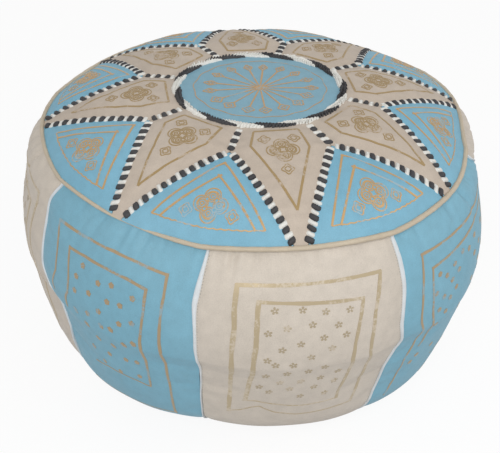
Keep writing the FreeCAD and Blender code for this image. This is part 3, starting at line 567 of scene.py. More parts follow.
# Star points: eight kites of cream leather, sewn to the medallion and to each other as far as their
# shoulders. From there they part and run to the rim between the gores.
SEAM_GAP = 0.0004
LEAST_HALF = 0.0004
star_cream = leather("star_cream", colour(193, 179, 164), colour(203, 190, 176))


def half_turn(radius):
    """Half the angle a star point spans at a radius: half a panel up to the shoulders, then the polar
    form of the straight seam to the rim."""
    run = STAR_TIP - SHOULDER
    normal = np.array((-run[1], run[0])) / np.hypot(*run)
    offset = normal @ SHOULDER
    seam = math.atan2(normal[1], normal[0]) - np.arccos(np.clip(offset / radius, -1, 1))
    return np.where(radius <= SHOULDER_RADIUS, STEP / 2, seam)


def crown_piece(name, material, slot, middle, radius, half):
    """A sewn piece of the top: polar grid about its middle line, as wide at each radius as its half
    angle, with both faces of the leather."""
    across = np.linspace(-1, 1, 41)[:, None]
    angle = middle + across * np.maximum(half - SEAM_GAP / radius, LEAST_HALF)
    x, y = radius * np.cos(angle), radius * np.sin(angle)
    shell = both_faces(on_crown, x, y, 0.0, -LEATHER)
    make_piece(name, [shell], material, slot, [name])


point_radius = np.linspace(MEDALLION + DISC_GAP, CROWN_EDGE, 71)[None, :]
for number in range(PANELS):
    crown_piece(f"star_point_{number + 1}", star_cream, "cream_leather", FRONT + number * STEP,
                point_radius, half_turn(point_radius))

# Rim gores: blue leather triangles that fill the gaps between the star points. Two sides are laced to
# the points and the long one is sewn into the rolled edge.
gore_blue = leather("gore_blue", colour(124, 177, 200), colour(138, 187, 208))
gore_radius = np.linspace(SHOULDER_RADIUS + 0.001, CROWN_EDGE, 61)[None, :]
for number in range(PANELS):
    crown_piece(f"rim_gore_{number + 1}", gore_blue, "blue_leather", FRONT + (number + 0.5) * STEP,
                gore_radius, STEP / 2 - half_turn(gore_radius))

# Gold stamping of the top: foil pressed on with hot tools, a fillet wheel for the lines and hand
# stamps for the rosettes, rubbed thin in places so that the leather shows through.
FOIL_LIFT = 0.00030
FOIL_DEPTH = 0.0003
FOIL_STEP = 0.003
WAVER = 0.16
RAYS = 17
FIRST_RAY = math.radians(-93)
RAY_END = 0.050
RAY_LINE = 0.0018
FRONT_RAYS = range(4, 14)
SLIM_LEAF = (0.0066, 0.0044)
ROUND_LEAF = (0.0062, 0.0060)
LEAF_HALF = 0.0062
LEAF_LINE = 0.0015
MEDALLION_RING = 0.0735
RING_LINE = 0.0009
STAMP_LINE = 0.0012
STAMP_STEP = 0.002
foil, takes, gives = new_group("worn_foil",
                               {"Where": "vector", "Gold": "colour", "Leather": "colour", "Wear": "value"},
                               {"Colour": "colour", "Roughness": "value", "Metal": "value",
                                "Height": "value"})
rubbed = noise(foil, takes["Where"], 330, 5, Roughness=0.65)
patches = noise(foil, takes["Where"], 42, 2)
thin = work(foil, "ADD", work(foil, "MULTIPLY", rubbed, 0.6), work(foil, "MULTIPLY", patches, 0.7))
kept = reach(foil, work(foil, "SUBTRACT", thin, takes["Wear"]), -0.05, 0.06, 0.25, 1.0)
feed(foil, gives, {"Colour": blend(foil, kept, takes["Leather"], takes["Gold"]),
                   "Roughness": reach(foil, kept, 0.0, 1.0, 0.62, 0.44),
                   "Metal": reach(foil, kept, 0.0, 1.0, 0.0, 0.35),
                   "Height": work(foil, "MULTIPLY", kept, rubbed)})


def gold_foil(name, gold, under, wear):
    """Worn gold foil over one leather: the foil group's colour, roughness and metal."""
    material, tree, shader, where = new_material(name)
    inputs = {"Where": where, "Gold": gold, "Leather": under, "Wear": wear}
    worn = add(tree, "Group", inputs, node_tree=foil).outputs
    feed(tree, shader, {"Base Color": worn["Colour"], "Roughness": worn["Roughness"],
                        "Metallic": worn["Metal"]})
    raised(tree, shader, worn["Height"], 0.25, FOIL_DEPTH)
    return material


def foil_line(path, width, place, step=FOIL_STEP):
    """A foil line along a flat path: points a step apart, set off to both sides by half a width that
    wavers a little, then laid on the leather by place()."""
    path = np.asarray(path, float)
    run = np.concatenate([[0], np.cumsum(np.hypot(*np.diff(path, axis=0).T))])
    count = max(4, int(run[-1] / step) + 1)
    at = np.linspace(0, run[-1], count)
    line = np.stack([np.interp(at, run, path[:, 0]), np.interp(at, run, path[:, 1])], -1)
    ahead = np.gradient(line, axis=0)
    aside = np.stack([-ahead[:, 1], ahead[:, 0]], -1) / np.hypot(*ahead.T)[:, None]
    waver = 1 + WAVER * np.convolve(chance.uniform(-1, 1, count + 4), np.ones(5) / 5, "valid") * 2
    offset = np.array((-0.5, 0.0, 0.5))[None, :, None] * (width * waver)[:, None, None]
    flat = line[:, None] + aside[:, None] * offset
    return both_faces(place, flat[..., 0], flat[..., 1], FOIL_LIFT, -FOIL_LIFT)


def ring(x, y, size, lobes=0, lobe_depth=0.0, turn=0.0, count=33):
    """A closed outline round a point: a circle whose radius swells a set number of times."""
    angle = np.linspace(0, 2 * math.pi, count)
    radius = size * (1 + lobe_depth * np.cos(lobes * (angle - turn)))
    return np.stack([x + radius * np.cos(angle), y + radius * np.sin(angle)], -1)


def lozenge(x, y, size, count=25):
    """A diamond with swollen sides: a circle whose radius is greatest along both axes."""
    return ring(x, y, size, 4, 0.20, 0.0, count)


def stamped(outlines, place):
    """Foil of a hand stamp: each of its outlines as a thin line."""
    return [foil_line(line, STAMP_LINE, place, STAMP_STEP) for line in outlines]


def crown_place(middle):
    """Lays flat points on the top: the first measure runs out along a middle line, the second across."""
    def place(along, across, lift):
        x = along * math.cos(middle) - across * math.sin(middle)
        y = along * math.sin(middle) + across * math.cos(middle)
        return on_crown(x, y, lift)
    return place


medallion_gold = gold_foil("medallion_gold", colour(186, 148, 100), colour(134, 172, 186), 0.545)
shells = []
for number in range(RAYS):
    place = crown_place(FIRST_RAY + number * 2 * math.pi / RAYS + chance.uniform(-0.03, 0.03))
    end = RAY_END + chance.uniform(-0.0015, 0.0015)
    leaf_size = SLIM_LEAF if number in FRONT_RAYS else ROUND_LEAF
    leaf = lozenge(0, 0, 1) * leaf_size + (end + LEAF_HALF, 0)
    shells.append(foil_line([(-0.001, 0), (end * 0.6, 0), (end, 0)], RAY_LINE, place))
    shells.append(foil_line(leaf, LEAF_LINE, place, STAMP_STEP))
    shells += stamped([lozenge(end + LEAF_HALF, 0, 0.0024, 17)], place)
shells.append(foil_line(ring(0, 0, MEDALLION_RING, 16, 0.012, 0.2, 161), RING_LINE, crown_place(0.0)))
make_piece("medallion_foil", shells, medallion_gold, "blue_leather")

# Star point foil: one five-sided frame run with the wheel on each point, then a rosette and three
# lozenges stamped by hand inside it.
STAR_FRAME = ((0.104, -0.0247), (0.104, 0.0235), (0.1343, 0.0280), (0.2105, 0.0012), (0.1275, -0.0315))
STAR_LINE = 0.0024
STAR_ROSETTE = (0.1385, 0.0, 0.0170)
STAR_LOZENGES = ((0.1200, -0.0162), (0.1205, 0.0148), (0.1655, 0.0))
star_gold = gold_foil("star_gold", colour(158, 134, 92), colour(194, 180, 166), 0.545)


def clover(x, y, size, count=49):
    """A four-leaved outline: the outer edge of four equal rings set round a point on both axes."""
    angle = np.linspace(0, 2 * math.pi, count)
    off_axis = (angle + math.pi / 4) % (math.pi / 2) - math.pi / 4
    radius = size * (0.52 * np.cos(off_axis) + np.sqrt(0.44 ** 2 - (0.52 * np.sin(off_axis)) ** 2))
    return np.stack([x + radius * np.cos(angle), y + radius * np.sin(angle)], -1)


def rosette(x, y, size):
    """A stamped quatrefoil: a four-lobed outline twice over, four ringed leaves on the axes, four small
    rings between them and a lattice in the middle."""
    lines = [clover(x, y, size * 1.04), clover(x, y, size * 0.84)]
    for quarter in range(4):
        turn = quarter * math.pi / 2
        leaf = (x + 0.50 * size * math.cos(turn), y + 0.50 * size * math.sin(turn))
        lines += [ring(*leaf, 0.24 * size, count=25), ring(*leaf, 0.11 * size, 4, 0.35, count=17)]
        turn += math.pi / 4
        bud = (x + 0.40 * size * math.cos(turn), y + 0.40 * size * math.sin(turn))
        lines.append(ring(*bud, 0.13 * size, count=17))
    lines.append(ring(x, y, 0.20 * size, 4, 0.25, math.pi / 4, 25))
    return lines


def two_lozenges(x, y):
    """A stamped diamond: one lozenge inside another."""
    return [lozenge(x, y, 0.0056), lozenge(x, y, 0.0030, 17)]


shells = []
for number in range(PANELS):
    place = crown_place(FRONT + number * STEP)
    for ends in zip(STAR_FRAME, STAR_FRAME[1:] + STAR_FRAME[:1]):
        shells.append(foil_line(ends, STAR_LINE, place))
    shells += stamped(rosette(*STAR_ROSETTE), place)
    for spot in STAR_LOZENGES:
        shells += stamped(two_lozenges(*spot), place)
make_piece("star_point_foil", shells, star_gold, "cream_leather")

# Gore foil: a double line run along both laced sides of each gore and a wavy one along its rim side,
# with a rosette and two lozenges stamped between them.
GORE_OUTER = ((0.1555, 0.0010), (0.2215, 0.0566))
GORE_INNER = ((0.1746, 0.0020), (0.2235, 0.0470))
GORE_LINE = 0.0022
THIN_LINE = 0.0011
GORE_WAVE = 0.2285
WAVE_STEP = 0.0015
GORE_ROSETTE = (0.2085, 0.0, 0.0168)
GORE_LOZENGES = ((0.2165, -0.0228), (0.2165, 0.0228))
gore_gold = gold_foil("gore_gold", colour(188, 152, 104), colour(134, 183, 205), 0.55)
sweep = np.linspace(-0.207, 0.207, 90)
wave = GORE_WAVE + 0.0009 * np.abs(np.sin(sweep * 95))
wave_line = np.stack([wave * np.cos(sweep), wave * np.sin(sweep)], -1)
shells = []
for number in range(PANELS):
    place = crown_place(FRONT + (number + 0.5) * STEP)
    for sign in (-1, 1):
        mirror = np.array(((1, -sign), (1, sign)))
        outer, inner = GORE_OUTER * mirror, GORE_INNER * mirror
        shells.append(foil_line(outer, GORE_LINE, place))
        shells.append(foil_line(inner, GORE_LINE, place))
        shells.append(foil_line([outer[1], inner[1]], THIN_LINE, place))
    shells.append(foil_line(wave_line, THIN_LINE, place, WAVE_STEP))
    shells += stamped(rosette(*GORE_ROSETTE), place)
    for spot in GORE_LOZENGES:
        shells += stamped(two_lozenges(*spot), place)
make_piece("rim_gore_foil", shells, gore_gold, "blue_leather")

# Lacing: flat thongs of black and white leather whipped by turns over every seam of the star. Each
# stitch goes down through a slit on either side of its seam.
STITCH_LONG = 0.0096
STITCH_WIDE = 0.0057
STITCH_PITCH = 0.0053
STITCH_HIGH = 0.0030
STITCH_SLANT = math.radians(5)
STITCH_SUNK = 0.0004
STITCH_ROOT = 0.0008
WHITE_WIDE, WHITE_HIGH = 0.88, 0.62
PAST_BRAID = 0.0075
PAST_SHOULDER = 0.0035
SHORT_OF_TIP = 0.0050
lace_black = leather("lace_black", colour(54, 54, 57), colour(72, 72, 74), 900, 0.4)
lace_white = leather("lace_white", colour(226, 225, 219), colour(236, 235, 230), 900, 0.4)


def stitch_shells(x, y, ahead, slant, long, wide, high):
    """Stitches over plan points: a small grid across and along the seam, turned by the slant and
    domed by the product of two flattened humps; long, wide and high are arrays, one per stitch."""
    over = np.linspace(-1, 1, 7)[None, :, None]
    along = np.linspace(-1, 1, 5)[None, None, :]
    turn = (ahead + math.pi / 2 + slant)[:, None, None]
    reach_over = over * long[:, None, None] / 2
    reach_along = along * wide[:, None, None] / 2 * (1 - 0.22 * over ** 4)
    spot_x = x[:, None, None] + reach_over * np.cos(turn) + reach_along * np.cos(ahead)[:, None, None]
    spot_y = y[:, None, None] + reach_over * np.sin(turn) + reach_along * np.sin(ahead)[:, None, None]
    dome = (1 - np.abs(over) ** 4) * (1 - 0.85 * np.abs(along) ** 3)
    top = -STITCH_SUNK + (high[:, None, None] + STITCH_SUNK) * dome
    return both_faces(on_crown, spot_x, spot_y, top, -STITCH_ROOT)


def seam_spots(start, finish):
    """Evenly spaced stitch places along a straight seam in plan."""
    count = max(2, int(np.hypot(*(finish - start)) / STITCH_PITCH))
    share = (np.arange(count) + 0.5)[:, None] / count
    return start + (finish - start) * share


seams = []
inner_end = (MEDALLION + PAST_BRAID) * np.array((math.cos(STEP / 2), math.sin(STEP / 2)))
run_out = (STAR_TIP - SHOULDER) / np.hypot(*(STAR_TIP - SHOULDER))
low_start = SHOULDER + run_out * PAST_SHOULDER
low_finish = STAR_TIP - run_out * SHORT_OF_TIP
flip = np.array((1, -1))
for number in range(PANELS):
    middle = FRONT + number * STEP
    spin = np.array(((math.cos(middle), math.sin(middle)), (-math.sin(middle), math.cos(middle))))
    seams.append((seam_spots(inner_end, SHOULDER * 0.985) @ spin, -STITCH_SLANT))
    seams.append((seam_spots(low_start, low_finish) @ spin, -STITCH_SLANT))
    seams.append((seam_spots(low_start * flip, low_finish * flip) @ spin, STITCH_SLANT))
spots = {"black": [], "white": []}
for line, slant in seams:
    ahead = math.atan2(*(line[-1] - line[0])[::-1])
    for step, (x, y) in enumerate(line):
        spots[("black", "white")[(len(line) - 1 - step) % 2]].append((x, y, ahead, slant))
for shade, material, wide, high in (("black", lace_black, STITCH_WIDE, STITCH_HIGH),
                                    ("white", lace_white, STITCH_WIDE * WHITE_WIDE,
                                     STITCH_HIGH * WHITE_HIGH)):
    x, y, ahead, slant = np.array(spots[shade]).T
    vary = chance.uniform(-1, 1, (4, len(x)))
    shells = [stitch_shells(x, y, ahead, slant + 0.10 * vary[0], STITCH_LONG * (1 + 0.14 * vary[1]),
                            wide * (1 + 0.10 * vary[2]), high * (1 + 0.15 * vary[3]))]
    make_piece(f"star_lacing_{shade}", shells, material, f"{shade}_leather", [f"star_lacing_{shade}"])

# Braid: fine thongs plaited over the medallion's seam, nine black and nine white lengths by turns.
# Each length starts at the inner side and leaves at the outer, so that its ends overlap its neighbours.
BRAID_LENGTHS = 9
BRAID_STITCHES = 13
BRAID_HALF = 0.0021
BRAID_CROSS = 0.0044
BRAID_LONG = 0.0066
BRAID_WIDE = 0.0034
BRAID_HIGH = 0.0033
BRAID_SLANT = 0.75
for shade, material, first, swell in (("black", lace_black, 0.0, 0.58), ("white", lace_white, 0.5, 0.54)):
    length = np.arange(BRAID_LENGTHS)[:, None, None]
    step = np.linspace(-0.10, 1.10, BRAID_STITCHES)[None, :, None]
    strand = np.array((-1, 1))[None, None, :]
    angle = (length + first + swell * (step + 0.04 * strand)) * (2 * math.pi / BRAID_LENGTHS) + 0.30
    through = np.broadcast_to(step, angle.shape).ravel()
    aside = np.broadcast_to(strand, angle.shape).ravel()
    angle = angle.ravel()
    vary = chance.uniform(-1, 1, (4, angle.size))
    full = np.clip(3.6 * np.minimum(through + 0.14, 1.14 - through), 0.35, 1)
    out = MEDALLION + 0.0006 + BRAID_CROSS * (through - 0.5) + BRAID_HALF * full * aside + 0.0004 * vary[0]
    long = BRAID_LONG * (0.45 + 0.55 * full) * (1 + 0.12 * vary[1])
    shells = [stitch_shells(out * np.cos(angle), out * np.sin(angle), angle + math.pi / 2,
                            -BRAID_SLANT * aside + 0.15 * vary[2], long, BRAID_WIDE * (1 + 0.12 * vary[3]),
                            BRAID_HIGH * (0.6 + 0.4 * full) * (1 + 0.15 * vary[0]))]
    make_piece(f"medallion_braid_{shade}", shells, material, f"{shade}_leather", [f"medallion_braid_{shade}"])

# Rolled edge: a strip of tan leather rolled on itself and sewn between the top and the sides. At one
# place left of the front it is tucked under and almost vanishes.
RIM = (0.2438, 0.2958)
ROLL = 0.0026
TUCKED_AT = -130.5
TUCKED_WIDE = 7
TUCKED_IN, TUCKED_DOWN = 0.0016, 0.0020
edge_tan = leather("edge_tan", colour(196, 182, 160), colour(208, 195, 174), 620, 0.35)
roll_turn = np.linspace(0, 2 * math.pi, 17)[None, :-1]
tucked = near(round_angle, TUCKED_AT, TUCKED_WIDE)
roll_size = ROLL * (1 + 0.16 * near(round_angle, -62, 26) - 0.20 * near(round_angle, -150, 26)
                    - 0.72 * tucked)
roll_size = roll_size * (1 + 0.04 * np.cos(61 * round_angle) + 0.03 * np.cos(143 * round_angle + 1))
roll_out = RIM[0] + rim_sway(round_angle) - TUCKED_IN * tucked + roll_size * np.cos(roll_turn)
roll_up = RIM[1] + rim_lift(round_angle) - TUCKED_DOWN * tucked + 0.92 * roll_size * np.sin(roll_turn)
roll = np.stack([roll_out * np.cos(round_angle), roll_out * np.sin(round_angle), roll_up], -1)
index = np.arange(roll_out.size).reshape(roll_out.shape)
along, over = np.roll(index, -1, 0), np.roll(index, -1, 1)
quads = np.stack([index, along, np.roll(along, -1, 1), over], -1).reshape(-1, 4)
new_piece("rim_piping", roll, quads, edge_tan, ["rim_piping"], sharp=False)

# Side panels: eight tall panels, cream and blue by turns, gathered into the rolled edge above and
# sewn to the base below. Each is stretched over the stuffing between two welts.
PANEL_GAP = 0.0012
FLOOR_GAP = 0.0003


def on_side(angle, share, lift):
    """A point of the side by its angle and its share of the way down, raised along the normal."""
    column = (angle - FRONT) * (COLUMNS / (2 * math.pi)) + 0 * share
    row = share * (SIDE_ROWS - 1) + 0 * angle
    point = between(side, column, row) + between(side_normal, column, row) * np.asarray(lift)[..., None]
    point[..., 2] = np.maximum(point[..., 2], FLOOR_GAP)
    return point


side_cream = leather("side_cream", colour(207, 197, 184), colour(215, 205, 193))
side_blue = leather("side_blue", colour(125, 176, 196), colour(136, 184, 203))
panel_across = np.linspace(-1, 1, 97)[:, None]
panel_share = np.linspace(0, 1, 141)[None, :]
panel_radius = np.interp(panel_share, share_down[0], line_radius)
for number in range(PANELS):
    angle = FRONT + number * STEP + panel_across * (STEP / 2 - PANEL_GAP / panel_radius)
    shell = both_faces(on_side, angle, panel_share, 0.0, -LEATHER)
    dye = (side_cream, "cream_leather") if number % 2 == 0 else (side_blue, "blue_leather")
    name = f"side_panel_{number + 1}"
    make_piece(name, [shell], *dye, [name])

# Gold stamping of the sides: two frames run with a broad wheel, thin lines along the foot, and small
# five-petalled stamps set by eye in slanting rows inside.
SIDE_HALF = 0.105
SIDE_LENGTH = 0.346
SEEN_PANELS = (0, 1, 7)
SEEN_BY_EYE = 0.4
BY_EYE = 1.6
FOOT_LINE = 0.0014
# Places are thousandths of half a panel's width and of the way down. A frame is its left side from the
# foot up, its crest between the corners and its right side from the top down.
CREAM_FRAMES = (
    (((-698, 644), (-693, 545), (-699, 438), (-667, 355), (-638, 235), (-653, 103)),
     (),
     ((730, 108), (650, 235), (639, 315), (612, 383), (635, 455), (701, 571), (653, 672))),
    (((-525, 572), (-510, 465), (-474, 375), (-440, 309), (-432, 154)),
     (),
     ((532, 176), (485, 278), (457, 349), (431, 391), (453, 486), (448, 614))))
CREAM_FEET = (
    ((-698, 644), (-568, 632), (-468, 614), (-382, 605), (-305, 626), (-212, 647), (20, 669), (334, 671),
     (653, 672)),
    ((-560, 574), (-431, 573), (-270, 590), (-92, 607), (57, 614), (250, 610), (448, 614)))
CREAM_STAMPS = (
    (-290, 180), (-40, 183), (170, 195), (400, 203), (-170, 240), (50, 234), (290, 245), (370, 285),
    (-340, 255), (-210, 314), (-50, 295), (160, 281), (240, 325), (-350, 353), (-280, 373), (-120, 378),
    (50, 350), (170, 403), (320, 446), (-370, 430), (-180, 419), (10, 418), (160, 464), (330, 499),
    (-410, 488), (-220, 469), (-30, 470), (130, 511), (-110, 508), (-310, 521), (275, 555), (20, 556))
LEFT_FRAMES = (
    (((-735, 350), (-625, 269), (-629, 206), (-650, 157), (-695, 106)),
     ((-124, 97), (104, 94), (326, 96)),
     ((696, 104), (709, 170), (691, 247), (675, 336), (634, 414), (634, 484), (660, 722))),
    (((-514, 361), (-413, 303), (-404, 248), (-449, 158)),
     ((-209, 153), (65, 150), (318, 152)),
     ((530, 162), (526, 232), (493, 319), (417, 415), (393, 563))))
LEFT_FEET = (
    ((-600, 725), (0, 728), (660, 722)),
    ((-435, 576), (-183, 547), (42, 549), (226, 554), (401, 567)))
LEFT_STAMPS = (
    (-221, 184), (-285, 226), (-293, 278), (-98, 253), (10, 207), (167, 191), (409, 203), (133, 247),
    (279, 239), (32, 291), (-115, 324), (271, 301), (408, 283), (44, 341), (166, 334), (-317, 346),
    (-210, 369), (-172, 414), (-350, 485), (55, 408), (264, 374), (396, 353), (-83, 468), (-223, 529),
    (158, 456), (299, 447), (9, 538), (269, 523))
RIGHT_FRAMES = (
    (((-779, 752), (-742, 684), (-711, 617), (-727, 545), (-685, 499), (-700, 430), (-757, 361),
      (-767, 234), (-737, 112)),
     (),
     ((710, 125), (660, 745))),
    (((-591, 512), (-567, 495), (-548, 455), (-574, 412), (-603, 353), (-624, 222), (-616, 175)),
     (),
     ((520, 155), (450, 664))))
RIGHT_FEET = (
    ((-150, 755), (660, 745)),
    ((-100, 668), (450, 664)))
RIGHT_STAMPS = (
    (-516, 211), (-407, 235), (-322, 266), (-570, 276), (-450, 308), (-344, 330), (-512, 348),
    (-401, 377), (-507, 422), (-267, 216), (-203, 252), (-115, 198), (-242, 308), (-296, 569),
    (-536, 567), (-590, 598), (10, 215), (150, 200), (400, 215), (125, 260), (270, 255), (255, 320),
    (400, 300), (110, 360), (180, 410), (345, 380), (125, 490), (275, 480))
CREAM_LAYOUTS = ((CREAM_FRAMES, CREAM_FEET, CREAM_STAMPS),)
BLUE_LAYOUTS = ((RIGHT_FRAMES, RIGHT_FEET, RIGHT_STAMPS), (LEFT_FRAMES, LEFT_FEET, LEFT_STAMPS))
cream_gold = gold_foil("cream_gold", colour(178, 162, 133), colour(206, 194, 176), 0.59)
cream_stamp = gold_foil("cream_stamp", colour(170, 156, 131), colour(206, 194, 176), 0.57)
blue_gold = gold_foil("blue_gold", colour(167, 145, 114), colour(134, 172, 188), 0.57)


def side_place(number):
    """Lays flat points on a side panel: metres across it from its middle, and metres down it."""
    def place(across, down, lift):
        angle = FRONT + number * STEP + across / SIDE_HALF * STEP / 2
        return on_side(angle, down / SIDE_LENGTH, lift)
    return place


def stretched(path, extra):
    """A path whose first and last run go on past its ends by an extra length."""
    path = np.array(path)
    ends = path[[0, -1]] - path[[1, -2]]
    path[[0, -1]] += extra * ends / np.hypot(*ends.T)[:, None]
    return path


# Each shade: its layouts, first panel, stamp's hole, notch and size, line widths and golds.
SHADES = (("cream", CREAM_LAYOUTS, 0, 0.26, 0.33, 0.0041, 0.0038, 0.0047, cream_gold, cream_stamp),
          ("blue", BLUE_LAYOUTS, 1, 0.10, 0.12, 0.0034, 0.0031, 0.0027, blue_gold, blue_gold))
scale = np.array((SIDE_HALF, SIDE_LENGTH))
petal_turn = np.linspace(0, 2 * math.pi, 21)[:-1, None]
for shade, layouts, first, hole, notch, size, wide, left_wide, line_gold, stamp_gold in SHADES:
    lines, flowers = [], []
    lobe = 1 - 2 * notch + 2 * notch * np.abs(np.cos(2.5 * petal_turn)) ** 0.45
    radius = size * np.concatenate([np.full(lobe.shape, hole), lobe], axis=1)
    for number in range(first, PANELS, 2):
        place = side_place(number)
        frames, feet, stamps = layouts[number // 2 % len(layouts)]
        by_eye = SEEN_BY_EYE if number in SEEN_PANELS else BY_EYE
        for (left, crest, right), foot in zip(frames, feet):
            left, right = [(np.array(line) / 1000 + by_eye * chance.uniform(-0.008, 0.008, 2) * (1, 0.5))
                           * scale for line in (left, right)]
            crest = np.reshape(crest, (-1, 2)) / 1000 * scale
            crest = np.concatenate([left[-1:], crest, right[:1]])
            for path, line_wide in ((left, left_wide), (crest, wide), (right, wide)):
                path = stretched(path, chance.uniform(0.0005, 0.0022))
                lines.append(foil_line(path, line_wide, place))
            lines.append(foil_line(np.array(foot) / 1000 * scale, FOOT_LINE, place))
        off = by_eye * chance.uniform(-0.012, 0.012, (len(stamps), 2)) * (1, 0.4)
        spots = (np.array(stamps) / 1000 + off) * scale
        turn = -math.pi / 2 + chance.uniform(-0.25, 0.25, len(spots))[:, None, None]
        x = spots[:, 0, None, None] + radius * np.cos(petal_turn + turn)
        y = spots[:, 1, None, None] + radius * np.sin(petal_turn + turn)
        flowers.append(both_faces(place, x, y, FOIL_LIFT, -FOIL_LIFT))
    make_piece(f"side_foil_{shade}", lines, line_gold, f"{shade}_leather")
    make_piece(f"side_stamps_{shade}", flowers, stamp_gold, f"{shade}_leather", closed=True)

# Welts: folded strips of white leather sewn into the upright seams, standing a little proud, with a
# row of small stitches on the cream side of each.
WELT_STITCHES = 96
WELT_SHARES = (0, 0.12, 0.33, 0.42, 0.60, 1)
WELT_WIDE = (0.0030, 0.0037, 0.0037, 0.0026, 0.0021, 0.0019)
WELT_HIGH = 0.0022
WELT_SUNK = 0.0012
THREAD_OFF = 0.0010
THREAD_HALF = (0.0004, 0.0009)
THREAD_HIGH = 0.0006
THREAD_ROOT = 0.0004
FIRST_WELT = 1.40
SWOLLEN_WELT = 7
welt_white = leather("welt_white", colour(219, 224, 227), colour(230, 233, 234), 800, 0.3)
# The stitches' grey is a pale thread darkened by painted shade round each stitch.
thread_with_painted_shade = leather("thread_with_painted_shade", colour(172, 168, 160), colour(196, 192, 184), 1600, 0.5)
welt_share = np.linspace(0.004, 0.998, 161)[:, None]
welt_over = np.linspace(-1, 1, 9)[None, :]
thread_rows = np.linspace(-1, 1, 3)[None, :, None]
thread_over = np.linspace(-1, 1, 3)[None, None, :]
threads = []
for number in range(PANELS):
    phase = chance.uniform(0, 6.28, 2)
    fullness = FIRST_WELT if number == 0 else chance.uniform(0.92, 1.08)
    if number == SWOLLEN_WELT:
        fullness = fullness + 0.55 * np.exp(-((welt_share - 0.15) / 0.06) ** 2)
    wide = fullness * np.interp(welt_share, WELT_SHARES, WELT_WIDE)
    wander = 0.0005 * np.sin(9 * welt_share + phase[0]) + 0.0003 * np.sin(31 * welt_share + phase[1])
    radius = np.interp(welt_share, share_down[0], line_radius)
    angle = FRONT + (number + 0.5) * STEP + (wander + welt_over * wide / 2) / radius
    bulge = WELT_HIGH * np.sqrt(1 - 0.92 * welt_over ** 2) - 0.0002
    share = welt_share + 0 * angle
    shell = both_faces(on_side, angle, share, bulge, -WELT_SUNK)
    name = f"side_welt_{number + 1}"
    make_piece(name, [shell], welt_white, "white_leather", [name])
    cream_side = -1 if number % 2 == 0 else 1
    spot = np.linspace(0.03, 0.93, WELT_STITCHES)[:, None, None]
    spot_out = np.interp(spot, welt_share[:, 0], (wander + cream_side * (wide / 2 + THREAD_OFF))[:, 0])
    spot_radius = np.interp(spot, share_down[0], line_radius)
    angle = FRONT + (number + 0.5) * STEP + (spot_out + thread_over * THREAD_HALF[0]) / spot_radius
    share = spot + thread_rows * THREAD_HALF[1] / SIDE_LENGTH + 0 * angle
    angle = angle + 0 * share
    top = THREAD_HIGH * (1 - thread_rows ** 2) * (1 - 0.6 * thread_over ** 2) - 0.0001 + 0 * angle
    threads.append(both_faces(on_side, angle, share, top, -THREAD_ROOT))
make_piece("side_seam_stitches", threads, thread_with_painted_shade, "white_leather")

# Base: two halves of plain cream leather that meet in the zip. A ring stands on the floor and the
# middle is held up, so that the zip keeps off the ground.
BASE_EDGE = 0.1799
SLOT = (0.1186, 0.0070)
BASE_RISE = 0.014
EASE_FROM = 0.128
EASE_RUN = 0.030
RIPPLES, RIPPLE_HIGH = 24, 0.0008
RIPPLE_AT, RIPPLE_RUN = 0.150, 0.012
base_cream = leather("base_cream", colour(196, 182, 162), colour(206, 193, 174))
base_turn = np.linspace(0.0, math.pi, 121)[:, None]
slot_out = np.minimum(SLOT[0] / np.maximum(np.abs(np.cos(base_turn)), 1e-6),
                      SLOT[1] / np.maximum(np.sin(base_turn), 1e-6))
base_share = np.linspace(0, 1, 49)[None, :] ** 0.8


def base_height(radius):
    """Height of the base's lower face: flat in the middle, eased down to the ring on the floor."""
    ease = np.clip((radius - EASE_FROM) / EASE_RUN, 0, 1)
    return BASE_RISE * (1 - ease * ease * (3 - 2 * ease))


for name, start in (("front", math.pi), ("back", 0.0)):
    angle = start + base_turn
    lobe = 0.0008 * off_middle(angle) ** 2
    radius = slot_out + (BASE_EDGE - lobe - slot_out) * base_share
    z = base_height(radius)
    ripple = RIPPLE_HIGH * np.cos(RIPPLES * angle) * np.exp(-((radius - RIPPLE_AT) / RIPPLE_RUN) ** 2)
    low = np.stack([radius * np.cos(angle), radius * np.sin(angle), np.maximum(z + ripple, FLOOR_GAP)], -1)
    half = f"base_panel_{name}"
    piece = make_piece(half, [(low, low + (0, 0, LEATHER))], base_cream, "cream_leather", [half])

# Zip: two woven tapes sewn behind the base halves, with moulded teeth and a brass slider whose pull
# hangs in a loop. Teeth, stops, slider and pull are the solids themselves.
tape_cloth, tree, shader, where = new_material("zip_tape_weave")
yarns = [add(tree, "TexWave", {"Vector": where, "Scale": scale, "Distortion": 0.6, "Detail": 1},
             bands_direction=way).outputs[1] for way, scale in (("X", 210), ("Y", 160))]
weave = work(tree, "MULTIPLY", *yarns)
feed(tree, shader, {"Base Color": blend(tree, weave, colour(150, 136, 112), colour(190, 176, 150)),
                    "Roughness": reach(tree, weave, 0, 1, 0.9, 0.75)})
raised(tree, shader, weave, 0.5, 0.0003)
for name in ("front", "back"):
    low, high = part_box(f"zip_tape_{name}")
    x = np.linspace(low[0], high[0], 81)[:, None]
    y = np.linspace(low[1], high[1], 9)[None, :]
    slack = 0.00012 * np.sin(90 * x) * np.cos(200 * y)
    face = np.stack([x + 0 * y, y + 0 * x, low[2] + slack], -1)
    piece = make_piece(f"zip_tape_{name}", [(face, face + (0, 0, high[2] - low[2]))], tape_cloth, "zip_cloth",
                       [f"zip_tape_{name}"])


def mottled(name, scale, detail, shades, rough, strength, depth, **more):
    """A plain material of one noise, which blends two shades, roughens the surface and raises it."""
    material, tree, shader, where = new_material(name)
    cloud = noise(tree, where, scale, detail, **more)
    feed(tree, shader, {"Base Color": blend(tree, cloud, *shades), "Roughness": reach(tree, cloud, *rough)})
    raised(tree, shader, cloud, strength, depth)
    return material


